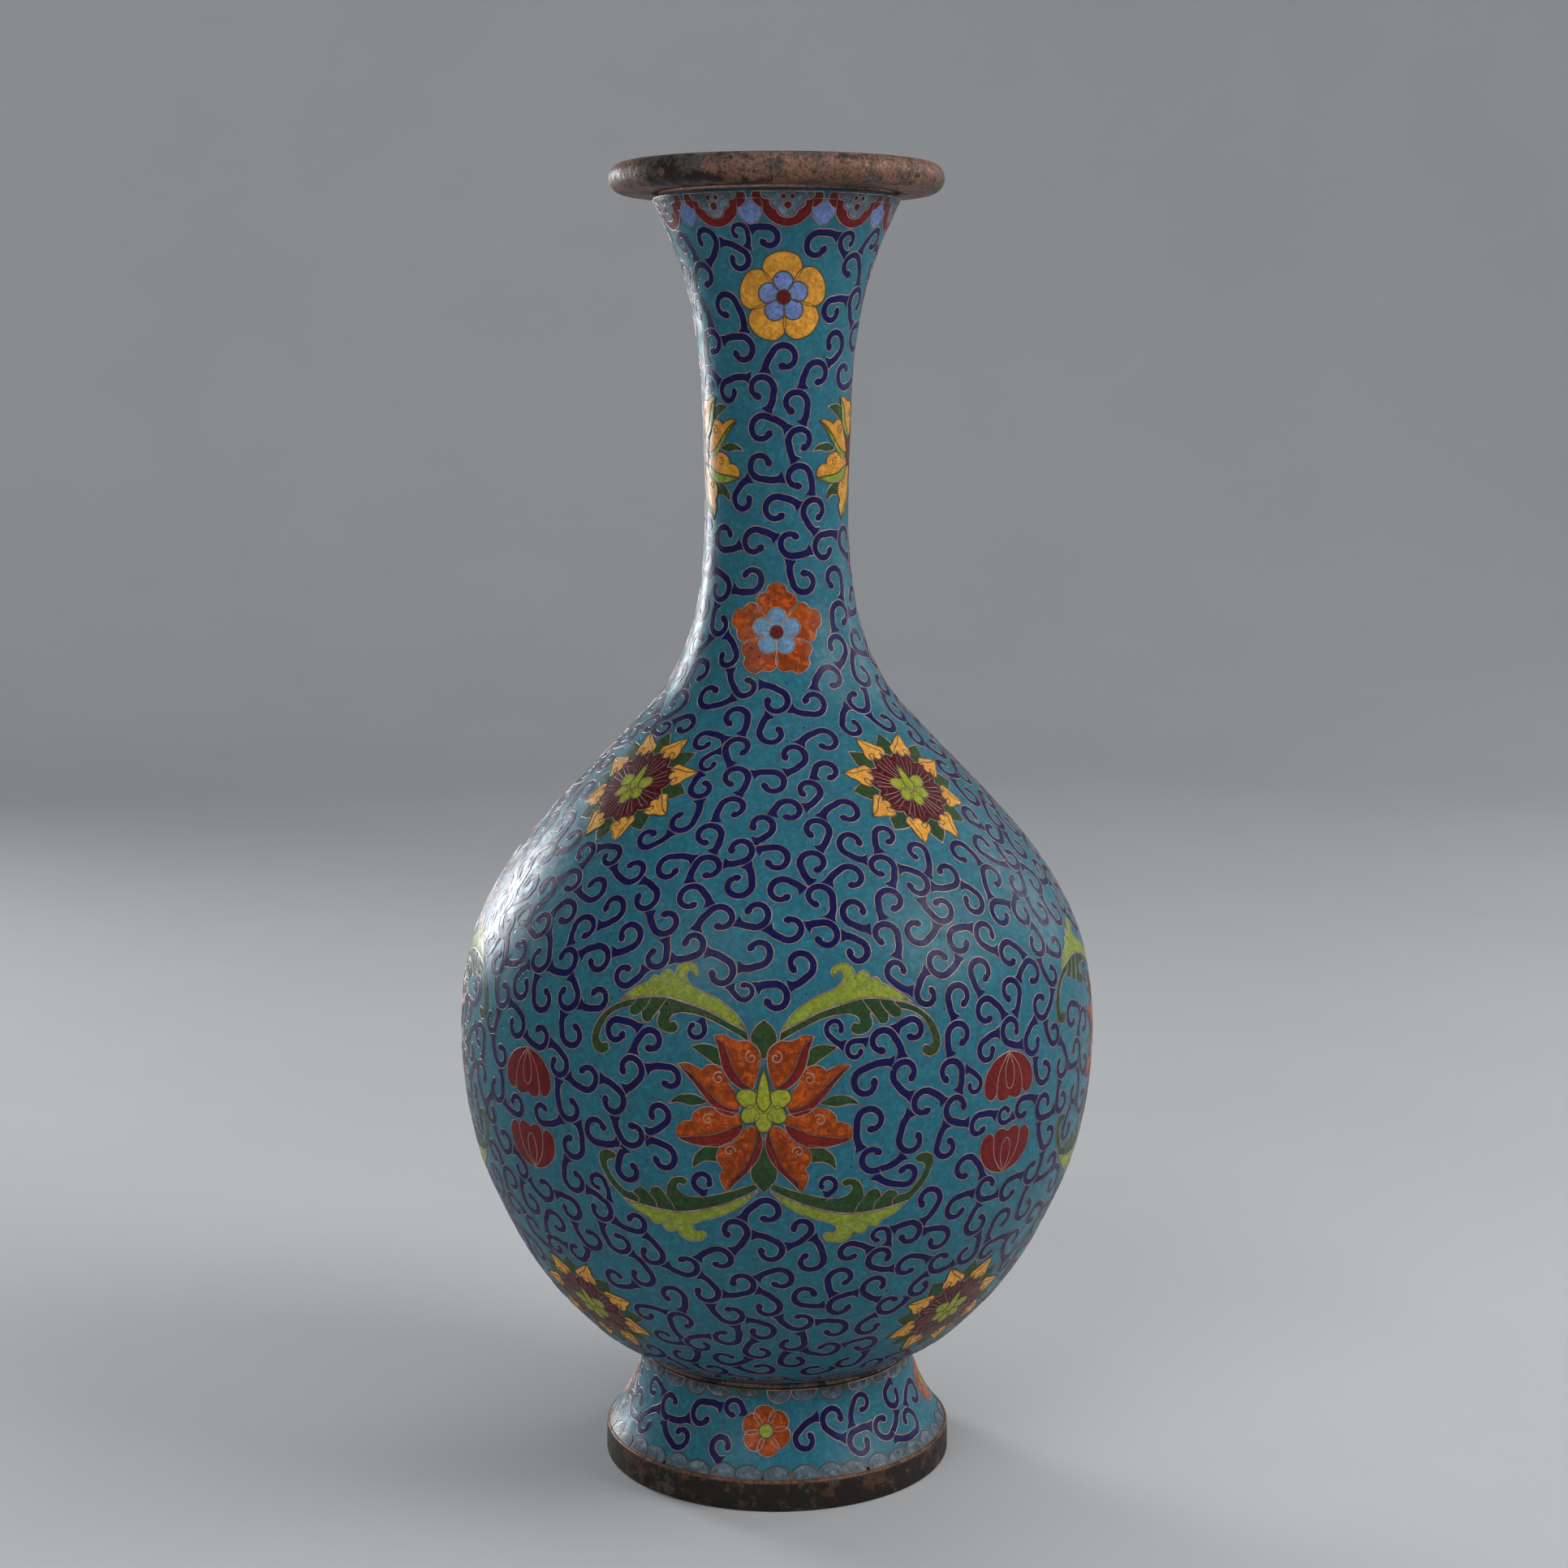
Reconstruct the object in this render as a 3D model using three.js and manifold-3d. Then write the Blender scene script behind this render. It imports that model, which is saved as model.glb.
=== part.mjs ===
// Cloisonne bottle vase: sheet copper body, enamel skins and enamel motif inlays.
// Millimetres, +Z up, axis on Z, foot on z = 0. Angle 0 faces -Y and grows towards +X.
import * as THREE from 'three';
import { mergeVertices } from 'three/addons/utils/BufferGeometryUtils.js';
import Module from 'manifold-3d';

const wasm = await Module();
wasm.setup();

// ---------------------------------------------------------------- driving dimensions
const HEIGHT = 400;
const AROUND = 32;          // facets around the axis
const ENAMEL = 1.2;         // thickness of the enamel skins
const COPPER = 1.4;         // thickness of the sheet copper
const GAP = 0.3;            // clearance between neighbouring pieces
const FOOT_BAND_TOP = 9.6;
const FOOT_BAND_RADIUS = 54.5;
const FOOT_BAND_WALL = 3.5;
const FOOT_TOP = 34;
const FOOT_BORDER = 4;      // height of the pale borders at the top and bottom of the foot
const BODY_BOTTOM = 36.4;
const BELLY_HEIGHT = 135;   // widest ring, where the two body halves are soldered
const NECK_BOTTOM = 246;
const NECK_TOP = 390;
const BASE_PLATE_HEIGHT = 32;
const RIM_RADIUS = 50.2;
const RIM_ROLL = 4.36;      // radius of the rolled lip edge
const RIM_BORE = 34.8;

// outer enamel surface as [height, radius] stations of a smooth curve
const BODY_STATIONS = [
  [35, 43], [38.5, 48.3], [44, 57.2], [52, 65.4], [62, 73.9], [78, 83.6], [104, 94.2],
  [BELLY_HEIGHT, 98.3], [165, 95], [188, 84], [208, 67.9], [228, 48.7], [244, 34.6], [262, 26.3],
  [284, 22.6], [312, 22.1], [344, 23.9], [368, 28.5], [391.5, 38.2],
];
const FOOT_STATIONS = [[9.5, 53.8], [15, 49.8], [22, 46], [29, 43.6], [34.5, 43]];

// heights where the facets of each piece break, shared by its enamel and its copper
const LOWER_HEIGHTS = [BODY_BOTTOM, 45, 58, 78, 104, BELLY_HEIGHT];
const UPPER_HEIGHTS = [BELLY_HEIGHT, 162, 186, 206, 224, NECK_BOTTOM];
const NECK_HEIGHTS = [NECK_BOTTOM, 258, 276, 316, 350, 374, NECK_TOP];
const LOWER_BORDER_HEIGHTS = [FOOT_BAND_TOP + 3 * GAP, FOOT_BAND_TOP + FOOT_BORDER];
const UPPER_BORDER_HEIGHTS = [FOOT_TOP - FOOT_BORDER, FOOT_TOP];
const FOOT_HEIGHTS = [LOWER_BORDER_HEIGHTS[1], 21, UPPER_BORDER_HEIGHTS[0]];

// ---------------------------------------------------------------- materials
function material(color, roughness, metalness) {
  return new THREE.MeshStandardMaterial({ color, roughness, metalness });
}

const COPPER_DARK = material(0x6e4630, 0.55, 0.85);
const COPPER_WORN = material(0x8f5a3a, 0.45, 0.9);
const TURQUOISE = material(0x3f8796, 0.38, 0);
const PALE_BLUE = material(0x8fa9c4, 0.4, 0);
const BRICK_RED = material(0x9c3a2c, 0.4, 0);
const ORANGE = material(0xc8581f, 0.4, 0);
const MAROON = material(0x6e1f24, 0.4, 0);
const YELLOW = material(0xe0a030, 0.4, 0);
const LEAF_GREEN = material(0x8d9c34, 0.4, 0);

// ---------------------------------------------------------------- a surface of revolution
class Skin {
  constructor(stations) {
    const curve = new THREE.SplineCurve(stations.map(([z, r]) => new THREE.Vector2(r, z)));
    this.points = curve.getPoints(40 * stations.length);
    this.lengths = [0];
    for (let i = 1; i < this.points.length; i += 1) {
      this.lengths.push(this.lengths[i - 1] + this.points[i].distanceTo(this.points[i - 1]));
    }
  }

  lengthAt(z) {
    const i = Math.max(1, this.points.findIndex((p) => p.y >= z));
    const low = this.points[i - 1];
    const part = (z - low.y) / (this.points[i].y - low.y);
    return THREE.MathUtils.lerp(this.lengths[i - 1], this.lengths[i], part);
  }

  // point (radius, height) at this length along the profile, the given depth under the surface
  pointAt(length, depth) {
    const last = this.lengths.length - 1;
    const i = THREE.MathUtils.clamp(this.lengths.filter((l) => l < length).length, 1, last);
    const low = this.points[i - 1];
    const high = this.points[i];
    const part = (length - this.lengths[i - 1]) / (this.lengths[i] - this.lengths[i - 1]);
    const along = high.clone().sub(low).normalize();
    return low.clone().lerp(high, part).add(new THREE.Vector2(-along.y, along.x).multiplyScalar(depth));
  }

  // the profile through these heights, the given depth under the surface
  line(heights, depth) {
    return heights.map((height) => this.pointAt(this.lengthAt(height), depth));
  }

  // motif point [x across, y up] centred on an angle and height, as a point in space
  place([x, y], angle, height, depth) {
    const length = this.lengthAt(height) + y;
    const turn = angle + x / this.pointAt(length, 0).x;
    const { x: radius, y: z } = this.pointAt(length, depth);
    return new THREE.Vector3(radius * Math.sin(turn), -radius * Math.cos(turn), z);
  }
}

const body = new Skin(BODY_STATIONS);
const foot = new Skin(FOOT_STATIONS);

// ---------------------------------------------------------------- revolved solids
function revolve(points) {
  return new THREE.LatheGeometry(points, AROUND).rotateX(Math.PI / 2);
}

function ring(outer, inner) {
  return revolve([...outer, ...inner.slice().reverse(), outer[0]]);
}

function polar(centreRadius, centreHeight, radius, from, to, steps) {
  return Array.from({ length: steps + 1 }, (_, i) => {
    const angle = THREE.MathUtils.degToRad(from + (to - from) * (i / steps));
    return new THREE.Vector2(centreRadius + radius * Math.cos(angle), centreHeight + radius * Math.sin(angle));
  });
}

// the heights of one piece, drawn in at both ends to leave a gap to the next piece
function trimmed(heights) {
  return heights.map((height, i) => {
    if (i === 0) return height + GAP / 2;
    return i === heights.length - 1 ? height - GAP / 2 : height;
  });
}

function skinRing(skin, heights, depth, thickness) {
  return ring(skin.line(heights, depth), skin.line(heights, depth + thickness));
}

// ---------------------------------------------------------------- booleans
function toManifold(geometry) {
  const bare = geometry.clone();
  bare.deleteAttribute('normal');
  bare.deleteAttribute('uv');
  const merged = mergeVertices(bare, 1e-5);
  return new wasm.Manifold(new wasm.Mesh({
    numProp: 3,
    vertProperties: new Float32Array(merged.attributes.position.array),
    triVerts: new Uint32Array(merged.index.array),
  }));
}

function fromManifold(solid) {
  const mesh = solid.getMesh();
  const geometry = new THREE.BufferGeometry();
  geometry.setAttribute('position', new THREE.BufferAttribute(mesh.vertProperties, mesh.numProp));
  geometry.setIndex(new THREE.BufferAttribute(mesh.triVerts, 1));
  geometry.computeVertexNormals();
  return geometry;
}

function solidFrom(vertices, faces) {
  const geometry = new THREE.BufferGeometry();
  geometry.setAttribute('position', new THREE.Float32BufferAttribute(vertices.flatMap((v) => v.toArray()), 3));
  geometry.setIndex(faces.flat());
  return toManifold(geometry);
}

// outline moved inwards by a distance; the outline runs anticlockwise
function inset(outline, distance) {
  return outline.map(([x, y], i) => {
    const [px, py] = outline[(i + outline.length - 1) % outline.length];
    const [nx, ny] = outline[(i + 1) % outline.length];
    const before = new THREE.Vector2(py - y, x - px).normalize();
    const after = new THREE.Vector2(y - ny, nx - x).normalize();
    const share = distance / Math.max(0.25, 1 + before.dot(after));
    return [x + (before.x + after.x) * share, y + (before.y + after.y) * share];
  });
}

// a prism through the skin, standing on the outline, from above the surface to below it
function prism(skin, outline, angle, height, reach) {
  const count = outline.length;
  const outer = outline.map((point) => skin.place(point, angle, height, -reach));
  const inner = outline.map((point) => skin.place(point, angle, height, 3 * ENAMEL));
  const contour = outline.map(([x, y]) => new THREE.Vector2(x, y));
  const cap = THREE.ShapeUtils.triangulateShape(contour, []);
  const walls = outline.flatMap((_, i) => {
    const j = (i + 1) % count;
    return [[i + count, j + count, j], [i + count, j, i]];
  });
  const floor = cap.map(([a, b, c]) => [c + count, b + count, a + count]);
  return solidFrom([...outer, ...inner], [...cap, ...floor, ...walls]);
}

// a band right round the skin between two edges given as height for each angle
function band(skin, lower, upper, samples, reach) {
  const vertices = [];
  for (let i = 0; i < samples; i += 1) {
    const angle = (2 * Math.PI * i) / samples;
    const corners = [[lower, 3 * ENAMEL], [lower, -reach], [upper, -reach], [upper, 3 * ENAMEL]];
    corners.forEach(([edge, depth]) => vertices.push(skin.place([0, 0], angle, edge(angle), depth)));
  }
  const faces = [];
  for (let i = 0; i < samples; i += 1) {
    for (let side = 0; side < 4; side += 1) {
      const a = 4 * i + side;
      const b = 4 * i + ((side + 1) % 4);
      const c = 4 * ((i + 1) % samples) + ((side + 1) % 4);
      const d = 4 * ((i + 1) % samples) + side;
      faces.push([a, d, c], [a, c, b]);
    }
  }
  return solidFrom(vertices, faces);
}

// ---------------------------------------------------------------- motif outlines, [x, y] around a centre
function mirrored(outline) {
  return outline.map(([x, y]) => [-x, y]).reverse();
}

// a flower outline with rounded petals, the first one pointing up
function rosette(petals, tip, notch, perPetal) {
  const count = petals * perPetal;
  return Array.from({ length: count }, (_, i) => {
    const turn = (2 * Math.PI * i) / count;
    const swell = Math.sqrt(Math.abs(Math.cos((petals * turn) / 2)));
    const radius = notch + (tip - notch) * swell;
    return [-radius * Math.sin(turn), radius * Math.cos(turn)];
  });
}

// a flower outline with pointed petals, wider than it is high
function pointedFlower(petals, halfWidth, halfHeight, notch) {
  const count = petals * 2;
  return Array.from({ length: count }, (_, i) => {
    const turn = (2 * Math.PI * i) / count;
    const share = i % 2 === 0 ? 1 : notch;
    return [-halfWidth * share * Math.sin(turn), halfHeight * share * Math.cos(turn)];
  });
}

const LOTUS_LEFT_HALF = [
  [0, 24], [-3.6, 19.5], [-14, 19.2], [-12.2, 12], [-24.5, 10.6], [-12.5, -0.8], [-25, -8.6], [-23, -12.5],
  [-13, -13], [-11, -25.4], [-3.4, -21.5], [0, -25.6],
];
const LOTUS_FLOWER = [
  ...LOTUS_LEFT_HALF,
  ...mirrored(LOTUS_LEFT_HALF).slice(1, -1),
];
const UPPER_LEAF = [
  [-4.6, 20.4], [-16.4, 31], [-20.6, 39], [-26.5, 36], [-42.5, 27.2], [-51.5, 14], [-41.8, 24.4],
  [-27.6, 19.4], [-24.4, 24.6],
];
const LOWER_LEAF = [
  [-4, -27.2], [-23.6, -30.4], [-24.4, -23.4], [-29.6, -28.6], [-41.6, -28], [-47.4, -17.4],
  [-45.6, -27.6], [-28.4, -39.6], [-20.4, -42.4], [-20, -36.8],
];
const BUD = [
  [0, 7], [-7, 3.6], [-10.4, -5.4], [-5.6, -4.8], [0, -7.4], [5.6, -4.8], [10.4, -5.4], [7, 3.6],
];
const YELLOW_FLOWER = rosette(5, 13.5, 9, 3);
const ORANGE_FLOWER = rosette(5, 14.5, 9.5, 3);
const FOOT_FLOWER = rosette(3, 7, 6, 3);
const SMALL_LOTUS = pointedFlower(8, 21, 16.5, 0.72);
const NECK_LOTUS = pointedFlower(8, 19, 19, 0.7);

// ---------------------------------------------------------------- the vase
const vase = new THREE.Group();

function add(name, geometry, look) {
  const mesh = new THREE.Mesh(geometry, look);
  mesh.name = name;
  vase.add(mesh);
}

// sheet copper, under the enamel
const COPPER_DEPTH = ENAMEL + GAP;
const LINING_DEPTH = COPPER_DEPTH + COPPER;
const floorEdge = body.line([BODY_BOTTOM], COPPER_DEPTH)[0].x - GAP - COPPER;
add('lower_body_shell', revolve([
  new THREE.Vector2(0, BODY_BOTTOM),
  new THREE.Vector2(floorEdge, BODY_BOTTOM),
  ...body.line(trimmed(LOWER_HEIGHTS), COPPER_DEPTH),
  ...body.line(trimmed(LOWER_HEIGHTS), LINING_DEPTH).reverse(),
  new THREE.Vector2(floorEdge - COPPER, BODY_BOTTOM + COPPER),
  new THREE.Vector2(0, BODY_BOTTOM + COPPER),
]), COPPER_DARK);
add('upper_body_shell', skinRing(body, trimmed(UPPER_HEIGHTS), COPPER_DEPTH, COPPER), COPPER_DARK);
add('neck_shell', skinRing(body, trimmed(NECK_HEIGHTS), COPPER_DEPTH, COPPER), COPPER_DARK);
const footCopper = [FOOT_BAND_TOP + 8 * GAP, ...FOOT_HEIGHTS, FOOT_TOP];
add('foot_shell', skinRing(foot, footCopper, COPPER_DEPTH, COPPER), COPPER_DARK);

const bandInner = FOOT_BAND_RADIUS - FOOT_BAND_WALL;
add('foot_band', revolve([
  new THREE.Vector2(bandInner, 0),
  new THREE.Vector2(FOOT_BAND_RADIUS, 0),
  new THREE.Vector2(FOOT_BAND_RADIUS - 0.2, FOOT_BAND_TOP - 0.6),
  new THREE.Vector2(FOOT_BAND_RADIUS - 0.7, FOOT_BAND_TOP),
  new THREE.Vector2(bandInner, FOOT_BAND_TOP),
  new THREE.Vector2(bandInner, 0),
]), COPPER_WORN);

const plateRadius = foot.line([BASE_PLATE_HEIGHT + COPPER], LINING_DEPTH)[0].x - 2 * GAP;
add('base_plate', revolve([
  new THREE.Vector2(0, BASE_PLATE_HEIGHT),
  new THREE.Vector2(plateRadius, BASE_PLATE_HEIGHT),
  new THREE.Vector2(plateRadius - 0.3, BASE_PLATE_HEIGHT + COPPER),
  new THREE.Vector2(0, BASE_PLATE_HEIGHT + COPPER),
]), COPPER_DARK);

const junctionInner = foot.line([FOOT_TOP], LINING_DEPTH)[0].x;
const junctionOuter = BODY_STATIONS[0][1] + 0.6;
add('junction_ring', revolve([
  new THREE.Vector2(junctionInner, FOOT_TOP + GAP),
  new THREE.Vector2(junctionOuter - 0.5, FOOT_TOP + GAP),
  new THREE.Vector2(junctionOuter, FOOT_TOP + 2 * GAP),
  new THREE.Vector2(junctionOuter, BODY_BOTTOM - 2 * GAP),
  new THREE.Vector2(junctionInner, BODY_BOTTOM - GAP),
  new THREE.Vector2(junctionInner, FOOT_TOP + GAP),
]), COPPER_DARK);

const rollCentre = RIM_RADIUS - RIM_ROLL;
const rimBottom = HEIGHT - 2 * RIM_ROLL;
const lip = polar(rollCentre, HEIGHT - RIM_ROLL, RIM_ROLL, -90, 90, 6);
add('mouth_rim', revolve([
  new THREE.Vector2(RIM_BORE + 1, rimBottom),
  ...lip,
  new THREE.Vector2(RIM_BORE + 4, HEIGHT - 0.8),
  new THREE.Vector2(RIM_BORE + 1, HEIGHT - 2.4),
  new THREE.Vector2(RIM_BORE, HEIGHT - 5),
  new THREE.Vector2(RIM_BORE + 1, rimBottom),
]), COPPER_WORN);

// enamel skins, which the motifs are cut out of
const skins = {
  enamel_body: toManifold(skinRing(body, trimmed([...LOWER_HEIGHTS, ...UPPER_HEIGHTS.slice(1)]), 0, ENAMEL)),
  enamel_neck: toManifold(skinRing(body, trimmed(NECK_HEIGHTS), 0, ENAMEL)),
  enamel_foot: toManifold(skinRing(foot, trimmed(FOOT_HEIGHTS), 0, ENAMEL)),
};
add('foot_lower_border', skinRing(foot, trimmed(LOWER_BORDER_HEIGHTS), 0, ENAMEL), PALE_BLUE);
add('foot_upper_border', skinRing(foot, trimmed(UPPER_BORDER_HEIGHTS), 0, ENAMEL), PALE_BLUE);

function cutFrom(skinName, name, piece, pocket, look) {
  add(name, fromManifold(skins[skinName].intersect(piece)), look);
  skins[skinName] = skins[skinName].subtract(pocket);
}

function inlay(skinName, name, outline, degrees, height, reach, look) {
  const skin = skinName === 'enamel_foot' ? foot : body;
  const angle = THREE.MathUtils.degToRad(degrees);
  const piece = prism(skin, inset(outline, GAP), angle, height, reach);
  cutFrom(skinName, name, piece, prism(skin, outline, angle, height, reach), look);
}

const SIDES = ['front', 'right', 'back', 'left'];
const BIG_LOTUS_HEIGHT = 138;
const WIDE_REACH = 30;
SIDES.forEach((side, i) => {
  const angle = 90 * i - 2;
  const leaves = {
    upper_left: UPPER_LEAF, upper_right: mirrored(UPPER_LEAF), lower_left: LOWER_LEAF, lower_right: mirrored(LOWER_LEAF),
  };
  inlay('enamel_body', `${side}_lotus`, LOTUS_FLOWER, angle, BIG_LOTUS_HEIGHT, WIDE_REACH, ORANGE);
  Object.entries(leaves).forEach(([corner, outline]) => {
    inlay('enamel_body', `${side}_leaf_${corner}`, outline, angle, BIG_LOTUS_HEIGHT, WIDE_REACH, LEAF_GREEN);
  });
});

const CORNERS = ['front_right', 'back_right', 'back_left', 'front_left'];
const SHOULDER_LOTUS_HEIGHT = 218.7;
const LOWER_LOTUS_HEIGHT = 64;
const UPPER_BUD_HEIGHT = 139.7;
const LOWER_BUD_HEIGHT = 117;
const bloomDown = SMALL_LOTUS.map(([x, y]) => [-x, -y]);
const budDown = BUD.map(([x, y]) => [-x, -y]);
CORNERS.forEach((corner, i) => {
  const angle = 90 * i + 43;
  inlay('enamel_body', `${corner}_shoulder_lotus`, SMALL_LOTUS, angle, SHOULDER_LOTUS_HEIGHT, WIDE_REACH, MAROON);
  inlay('enamel_body', `${corner}_lower_lotus`, bloomDown, angle, LOWER_LOTUS_HEIGHT, WIDE_REACH, MAROON);
  inlay('enamel_body', `${corner}_upper_bud`, BUD, angle, UPPER_BUD_HEIGHT, WIDE_REACH, BRICK_RED);
  inlay('enamel_body', `${corner}_lower_bud`, budDown, angle, LOWER_BUD_HEIGHT, WIDE_REACH, BRICK_RED);
  inlay('enamel_foot', `${corner}_foot_flower`, FOOT_FLOWER, angle - 47, 22.2, 6, ORANGE);
});

const YELLOW_FLOWER_HEIGHT = 360.1;
const ORANGE_FLOWER_HEIGHT = 262.5;
const NECK_LOTUS_HEIGHT = 316;
[['front', 0], ['back', 180]].forEach(([side, angle]) => {
  inlay('enamel_neck', `${side}_yellow_flower`, YELLOW_FLOWER, angle + 4.6, YELLOW_FLOWER_HEIGHT, WIDE_REACH, YELLOW);
  inlay('enamel_neck', `${side}_orange_flower`, ORANGE_FLOWER, angle, ORANGE_FLOWER_HEIGHT, 12, ORANGE);
});
[['right', 88], ['left', -88]].forEach(([side, angle]) => {
  inlay('enamel_neck', `${side}_neck_lotus`, NECK_LOTUS, angle, NECK_LOTUS_HEIGHT, WIDE_REACH, YELLOW);
});

// the ring of lappets under the rim
const LAPPETS = 10;
const LAPPET_TURN = THREE.MathUtils.degToRad(5.3);
const LAPPET_TIP = 381;
const LAPPET_DIP = 5;       // how much higher the band's edge is between two lappets
const LAPPET_SAMPLES = 20;   // a tip and a dip for each lappet

function lappetEdge(shift) {
  return (angle) => {
    const swell = Math.abs(Math.cos((LAPPETS * (angle - LAPPET_TURN)) / 2));
    return LAPPET_TIP + LAPPET_DIP * (1 - Math.sqrt(swell)) + shift;
  };
}

const pastTheTop = () => NECK_TOP + 4 * GAP;
const lappets = band(body, lappetEdge(GAP), pastTheTop, LAPPET_SAMPLES, 3);
const lappetPocket = band(body, lappetEdge(0), pastTheTop, LAPPET_SAMPLES, 3);
cutFrom('enamel_neck', 'rim_lappets', lappets, lappetPocket, PALE_BLUE);

Object.entries(skins).forEach(([name, solid]) => add(name, fromManifold(solid), TURQUOISE));

export default vase;
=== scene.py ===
"""Looks of the cloisonne bottle vase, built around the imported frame.

The frame is in metres. Ornament is drawn flat in millimetres, as [x across, y up] around a motif's
centre, and laid on the vase's surface of revolution. Angle 0 faces -Y and grows towards +X.
"""
import heapq
import math
import random

import bpy
import numpy as np
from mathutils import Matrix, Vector
from mathutils.geometry import delaunay_2d_cdt
from mathutils.kdtree import KDTree


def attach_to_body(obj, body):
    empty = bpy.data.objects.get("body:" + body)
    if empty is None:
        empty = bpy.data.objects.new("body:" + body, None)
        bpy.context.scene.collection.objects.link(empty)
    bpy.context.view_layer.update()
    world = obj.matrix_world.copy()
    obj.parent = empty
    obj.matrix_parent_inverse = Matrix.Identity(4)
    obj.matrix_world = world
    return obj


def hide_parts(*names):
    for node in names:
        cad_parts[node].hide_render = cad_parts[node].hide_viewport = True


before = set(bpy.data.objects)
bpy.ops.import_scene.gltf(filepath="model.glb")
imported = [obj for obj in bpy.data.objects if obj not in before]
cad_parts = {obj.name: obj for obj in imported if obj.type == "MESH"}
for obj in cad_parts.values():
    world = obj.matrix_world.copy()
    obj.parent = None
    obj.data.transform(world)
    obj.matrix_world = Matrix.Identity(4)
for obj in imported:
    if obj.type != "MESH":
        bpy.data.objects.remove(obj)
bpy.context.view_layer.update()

MM = 0.001
AROUND = 256                # facets around the axis of each revolved piece
ENAMEL_TOP = -0.38          # the enamel surface, measured from the CAD surface, so that wires stay inside it
ENAMEL_DEPTH = 1.2
COPPER_OUTSIDE = 1.5
COPPER_INSIDE = 2.9
WIRE_WIDTH = 0.42
WIRE_HEIGHT = 0.1
LAYER = 0.035               # how much each layer of cells stands over the one under it
CELL_LIFT = 0.03            # height of a cell's edge over the ground
DOME = 0.05                 # rise of a cell's middle over its edge
EDGE_FADE = 0.9             # distance from the wire over which the grime and painted shade beside it fade
GRID = 0.9                  # spacing of the points inside a cell
SPACING = 0.5               # spacing of the points along an outline
CURVE_STEPS = 10            # steps between two given points of a curve
SEAM_GAP = 0.15             # half the joint between two pieces of the body

FOOT_BAND_TOP = 9.6
FOOT_TOP = 34.0
BODY_BOTTOM = 36.4
BELLY = 135.0
NECK_BOTTOM = 246.0
NECK_TOP = 390.0
BASE_PLATE = 32.0

# heights of the motifs' centres, and the angle from a big lotus to the motifs at its corners
BIG_LOTUS_AT = 138.0
SHOULDER_LOTUS_AT = 218.7
LOWER_LOTUS_AT = 64
UPPER_BUD_AT = 139.7
LOWER_BUD_AT = 117
YELLOW_FLOWER_AT = 360.1
ORANGE_FLOWER_AT = 262.5
NECK_LOTUS_AT = 316
LAPPETS_AT = 385.4
FOOT_FLOWER_AT = 22.2
CORNER = 43

# outer enamel surface as [height, radius] stations, as in the CAD model
BODY_STATIONS = [
    (35, 43), (38.5, 48.3), (44, 57.2), (52, 65.4), (62, 73.9), (78, 83.6), (104, 94.2),
    (BELLY, 98.3), (165, 95), (188, 84), (208, 67.9), (228, 48.7), (244, 34.6), (262, 26.3),
    (284, 22.6), (312, 22.1), (344, 23.9), (368, 28.5), (391.5, 38.2),
]
FOOT_STATIONS = [(9.5, 53.8), (15, 49.8), (22, 46), (29, 43.6), (34.5, 43)]


# ---------------------------------------------------------------- curves
def catmull_rom(points, steps, closed=False):
    """A smooth curve through points, with this many steps between neighbours."""
    points = np.array(points, float)
    count = len(points)
    if closed:
        before, start = np.roll(points, 1, 0), points
        end, after = np.roll(points, -1, 0), np.roll(points, -2, 0)
    else:
        start, end = points[:-1], points[1:]
        before = np.vstack([points[:1], points[:-2]]) if count > 2 else start
        after = np.vstack([points[2:], points[-1:]]) if count > 2 else end
    t = np.arange(steps)[None, :, None] / steps
    p0, p1, p2, p3 = (p[:, None, :] for p in (before, start, end, after))
    v0, v1 = (p2 - p0) / 2, (p3 - p1) / 2
    curve = (2 * p1 - 2 * p2 + v0 + v1) * t**3 + (-3 * p1 + 3 * p2 - 2 * v0 - v1) * t**2 + v0 * t + p1
    curve = curve.reshape(-1, points.shape[1])
    return curve if closed else np.vstack([curve, points[-1:]])


def evenly(points, spacing, closed=False):
    """The same line with points about this far apart."""
    points = np.asarray(points, float)
    line = np.vstack([points, points[:1]]) if closed else points
    lengths = np.concatenate([[0], np.cumsum(np.linalg.norm(np.diff(line, axis=0), axis=1))])
    count = max(3, int(round(lengths[-1] / spacing)))
    at = np.linspace(0, lengths[-1], count, endpoint=not closed)
    return np.stack([np.interp(at, lengths, line[:, axis]) for axis in (0, 1)], -1)


def path(*points, spacing=SPACING):
    """A smooth open line through the points."""
    return evenly(catmull_rom(points, CURVE_STEPS), spacing)


def outline(*runs):
    """A closed outline of smooth runs that meet in corners. Each run starts where the last one ends."""
    return np.vstack([path(*run)[:-1] for run in runs])


def blob(*points):
    """A closed smooth outline with no corners."""
    return evenly(catmull_rom(points, CURVE_STEPS, closed=True), SPACING, closed=True)


def circle(x, y, radius, squash=1.0):
    count = max(10, int(2 * math.pi * radius / SPACING))
    turn = np.linspace(0, 2 * math.pi, count, endpoint=False)
    return np.stack([x + radius * np.cos(turn), y + radius * squash * np.sin(turn)], -1)


def spiral(x, y, radius, start, sweep, end_radius=0.35):
    """An open spiral wire that winds in around a centre. Angles in degrees."""
    count = max(8, int(abs(sweep) / 14))
    turn = np.radians(start + np.linspace(0, sweep, count))
    radii = np.linspace(radius, end_radius, count)
    return np.stack([x + radii * np.cos(turn), y + radii * np.sin(turn)], -1)


def mirrored(points):
    return (np.asarray(points) * (-1, 1))[::-1]


def turned(points, degrees, scale=1.0):
    c, s = math.cos(math.radians(degrees)) * scale, math.sin(math.radians(degrees)) * scale
    return np.asarray(points) @ np.array([[c, s], [-s, c]])


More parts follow.
